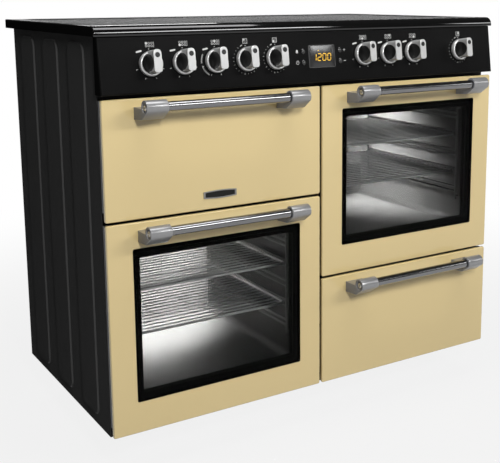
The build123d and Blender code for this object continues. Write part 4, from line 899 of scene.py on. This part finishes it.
# Each row: body that carries the handle, middle of its front, height of the bar
HANDLES = {
    "grill_door": (LEFT_X, 749.5), "main_door": (LEFT_X, 509.0),
    "right_door": (RIGHT_X, 749.5), "drawer": (RIGHT_X, 319.0),
}
dress(bar_steel, *[body + "_handle_bar" for body in HANDLES])
mount_alloy = new_finish(
    "mount_alloy", (0.24, 0.24, 0.244), (0.28, 0.28, 0.284), 70, 0.285, 0.30, 1600, 0.000002,
    Metallic=0.4, Specular_IOR_Level=0.9,
)
# Darker, bluish grey for the mount ends: painted shade, tinted against the cream light bounced from the
# door
mount_end_painted_shade = new_finish(
    "mount_end_painted_shade", (0.22, 0.226, 0.25), (0.25, 0.256, 0.28), 70, 0.5, 0.6, 1600, 0.000002,
    Specular_IOR_Level=0.2,
)
screw_steel = new_finish(
    "screw_steel", (0.5, 0.5, 0.5), (0.6, 0.6, 0.6), 90, 0.28, 0.4, 1200, 0.00001, Metallic=1.0,
)
side_axes = Matrix(((0, 0, 1, 0), (1, 0, 0, 0), (0, 1, 0, 0), (0, 0, 0, 1)))
BAR_OUT = 50.0
MOUNT_ROUND = 14.0
MOUNT_LONG = 45.0
MOUNT_AWAY = 181.0
# Side view of a mount, back and up from the bar: foot at the door, round socket, slanted web
web = [(BAR_OUT, -27), (BAR_OUT, -3)] + circle((0, 0), MOUNT_ROUND, 36, -12.4, 223.8) + [(11.9, -24)]


def cut_mesh(shape, name, materials, cutters, bevel):
    """Mesh of a shape with round cutters taken away and its edges eased."""
    body_mesh = new_mesh(shape, name + "_blank", materials)
    blank = bpy.data.objects.new(name + "_blank", body_mesh)
    bpy.context.scene.collection.objects.link(blank)
    tools = []
    for radius, low, high in cutters:
        tool_shape = bmesh.new()
        slab(tool_shape, circle((0, 0), radius, 36), low, high)
        tool = bpy.data.objects.new(name + "_tool", new_mesh(tool_shape, name + "_tool", materials))
        bpy.context.scene.collection.objects.link(tool)
        cut = blank.modifiers.new("cut", "BOOLEAN")
        cut.operation = "DIFFERENCE"
        cut.object = tool
        tools.append(tool)
    ease = blank.modifiers.new("ease", "BEVEL")
    ease.width = bevel * MM
    ease.segments = 3
    ease.limit_method = "ANGLE"
    ease.angle_limit = math.radians(28)
    bpy.context.view_layer.update()
    done = bpy.data.meshes.new_from_object(blank.evaluated_get(bpy.context.evaluated_depsgraph_get()))
    done.name = name
    for face in done.polygons:
        face.use_smooth = True
    done.set_sharp_from_angle(angle=math.radians(35))
    for piece in [blank] + tools:
        bpy.data.objects.remove(piece)
    return done


RECESS_ROUND = 10.0
RECESS_DEEP = 4.0
SOCKET_ROUND = 9.6
SOCKET_FROM = 13.5
SCREW_FLOOR = 3.95
OVERCUT = 1.0
mount_meshes = {}
screw_meshes = {}
for side in (-1, 1):
    mount = bmesh.new()
    slab(mount, web, *sorted((0, -side * MOUNT_LONG)))
    recess = (RECESS_ROUND, *sorted((side * OVERCUT, -side * RECESS_DEEP)))
    socket = (SOCKET_ROUND, *sorted((-side * SOCKET_FROM, -side * (MOUNT_LONG + OVERCUT))))
    mount_meshes[side] = cut_mesh(mount, "handle_mount", [mount_alloy, mount_end_painted_shade], [recess, socket], 0.9)
    # The end faces take the painted-shade copy of the alloy
    for face in mount_meshes[side].polygons:
        face.material_index = int(abs(face.normal.z) > 0.95)
    # Domed head with a round drive hole, radius and share of the depth of the recess
    head = [(0, 0.9), (2.2, 0.9), (2.6, 0.35), (4.6, 0.3), (5.7, 0.5), (5.9, 1), (0, 1)]
    screw = bmesh.new()
    turn(screw, [(radius, share * -side * SCREW_FLOOR) for radius, share in head], 24)
    screw_meshes[side] = new_mesh(screw, "mount_screw", [screw_steel])
for body, (centre, z) in HANDLES.items():
    for side, word in ((-1, "left"), (1, "right")):
        end = Vector((centre + side * MOUNT_AWAY, FACE - BAR_OUT, z)) * MM
        at = Matrix.Translation(end) @ side_axes
        mount_piece = place_piece(mount_meshes[side], body + "_mount_" + word, body, at)
        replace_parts(mount_piece, body + "_handle_mounts")
        place_piece(screw_meshes[side], body + "_mount_screw_" + word, body, at)

# Bare plate on the grill door: a small grey metal frame, barrel shaped, with a plain dark inlay.
# Both are stamped from sheet; the plate is stuck on the door and the inlay on the plate.
plate_steel = new_finish(
    "plate_steel", (0.24, 0.235, 0.225), (0.30, 0.295, 0.285), 150, 0.28, 0.38, 1500, 0.000004,
    Metallic=0.8,
)
dress(plate_steel, "grill_door_plate")
inlay_black = new_finish(
    "plate_inlay", (0.006, 0.006, 0.006), (0.010, 0.010, 0.009), 220, 0.3, 0.45, 1400, 0.00001,
    Specular_IOR_Level=0.2,
)
PLATE_UP = 557.5
INLAY_HALF = 33.6
INLAY_END = 4.4
INLAY_BULGE = 1.8
BULGE_HALF = 34.6
INLAY_LEVELS = (1.29, 1.5)
INLAY_STEPS = 24
inlay_line = []
for step in range(INLAY_STEPS + 1):
    u = INLAY_HALF * (1 - 2 * step / INLAY_STEPS)
    inlay_line.append((u, INLAY_END + INLAY_BULGE * (1 - (u / BULGE_HALF) ** 2)))
inlay_line += [(u, -v) for u, v in reversed(inlay_line)]
inlay = bmesh.new()
slab(inlay, inlay_line, *INLAY_LEVELS)
inlay_mesh = new_mesh(inlay, "plate_inlay", [inlay_black])
inlay_place = front_place(LEFT_X, 0, PLATE_UP)
place_piece(inlay_mesh, "plate_inlay", "grill_door", inlay_place)

# Studio: a wide pale floor that fades to white, a low pale wall far away all round, soft lamps and
# a dim room. Floor and wall read as white where they are seen, and the floor keeps the shadow near
# the object.
def stage_finish(name, near, far):
    """Matt grey that glows white where it is seen, by a share that runs from near to far."""
    made = bpy.data.materials.new(name)
    made.use_nodes = True
    tree = made.node_tree
    matt = tree.nodes["Principled BSDF"]
    matt.inputs["Base Color"].default_value = (0.28, 0.28, 0.28, 1)
    matt.inputs["Roughness"].default_value = 0.9
    matt.inputs["Specular IOR Level"].default_value = 0.0
    glow = add_node(tree, "Emission", Color=(1, 1, 1, 1), Strength=1.0)
    path = add_node(tree, "LightPath")
    seen = add_node(tree, "Math", {"operation": "MAXIMUM"})
    either = add_node(tree, "Math", {"operation": "MAXIMUM"})
    share = add_node(tree, "Math", {"operation": "MULTIPLY"})
    spot_in = add_node(tree, "TexCoord")
    away = add_node(tree, "VectorMath", {"operation": "LENGTH"})
    fade = add_node(
        tree, "MapRange", {"interpolation_type": "SMOOTHSTEP"},
        From_Min=0.7, From_Max=2.2, To_Min=near, To_Max=far,
    )
    blend = add_node(tree, "MixShader")
    tree.links.new(path.outputs["Is Camera Ray"], seen.inputs[0])
    tree.links.new(path.outputs["Is Glossy Ray"], seen.inputs[1])
    tree.links.new(seen.outputs[0], either.inputs[0])
    tree.links.new(path.outputs["Is Transmission Ray"], either.inputs[1])
    tree.links.new(either.outputs[0], share.inputs[0])
    tree.links.new(spot_in.outputs["Object"], away.inputs[0])
    tree.links.new(away.outputs["Value"], fade.inputs["Value"])
    tree.links.new(fade.outputs[0], share.inputs[1])
    tree.links.new(share.outputs[0], blend.inputs[0])
    tree.links.new(matt.outputs[0], blend.inputs[1])
    tree.links.new(glow.outputs[0], blend.inputs[2])
    tree.links.new(blend.outputs[0], tree.nodes["Material Output"].inputs["Surface"])
    return made


def set_stage(shape, name, material):
    piece = bpy.data.objects.new(name, new_mesh(shape, name, [material]))
    bpy.context.scene.collection.objects.link(piece)


floor_shape = bmesh.new()
bmesh.ops.create_grid(floor_shape, x_segments=8, y_segments=8, size=30)
set_stage(floor_shape, "studio_floor", stage_finish("floor_pale", 0.85, 1.0))
wall_shape = bmesh.new()
WALL_AWAY = 14.0
WALL_HIGH = 1.25
WALL_STEPS = 96
wall_rings = []
for height in (-0.01, WALL_HIGH):
    ring = circle((0, 0), WALL_AWAY, WALL_STEPS)
    wall_rings.append([wall_shape.verts.new((x, y, height)) for x, y in ring])
for k in range(WALL_STEPS):
    j = (k + 1) % WALL_STEPS
    wall_shape.faces.new((wall_rings[0][k], wall_rings[0][j], wall_rings[1][j], wall_rings[1][k]))
set_stage(wall_shape, "studio_wall", stage_finish("wall_pale", 1.0, 1.0))


def soft_lamp(name, at, aim, width, height, power):
    light = bpy.data.lights.new(name, "AREA")
    light.shape = "RECTANGLE"
    light.size = width
    light.size_y = height
    light.energy = power
    lamp = bpy.data.objects.new(name, light)
    lamp.location = at
    lamp.rotation_mode = "QUATERNION"
    lamp.rotation_quaternion = (Vector(aim) - Vector(at)).to_track_quat("-Z", "Y")
    bpy.context.scene.collection.objects.link(lamp)


soft_lamp("key_lamp", (-0.9, -2.9, 2.0), (0, -0.2, 0.75), 0.3, 0.7, 50)
soft_lamp("strip_lamp", (1.1, -2.6, 2.0), (0, -0.2, 0.8), 1.2, 0.45, 26)
soft_lamp("right_lamp", (3.1, -2.3, 1.9), (0.3, -0.2, 0.7), 1.0, 0.5, 13)
soft_lamp("top_lamp", (0, -0.6, 3.2), (0, -0.1, 0.5), 2.4, 1.2, 54)
soft_lamp("rear_lamp", (0.55, 2.8, 2.2), (0.2, 0, 0.9), 1.8, 0.5, 26)
room = bpy.data.worlds.new("studio_room")
room.use_nodes = True
room.node_tree.nodes["Background"].inputs["Color"].default_value = (1, 1, 1, 1)
room.node_tree.nodes["Background"].inputs["Strength"].default_value = 0.06
bpy.context.scene.world = room
bpy.context.scene.view_settings.view_transform = "Standard"

# Camera: a long lens at about the height of the hob, to the left of the front, shifted down and
# sideways. Its place was fitted to the straight edges in the photograph.
lens = bpy.data.cameras.new("photo_camera")
lens.sensor_width = 36.0
lens.sensor_fit = "HORIZONTAL"
lens.lens = 66.19
lens.shift_x = -0.10
lens.shift_y = -0.15
lens.clip_start = 0.05
lens.clip_end = 200.0
camera = bpy.data.objects.new("photo_camera", lens)
camera.matrix_world = Matrix((
    (0.84012, 0.09665, -0.53372, -1.10225),
    (-0.54239, 0.14454, -0.82760, -1.88679),
    (-0.00285, 0.98477, 0.17385, 0.95600),
    (0, 0, 0, 1),
))
bpy.context.scene.collection.objects.link(camera)
bpy.context.scene.camera = camera
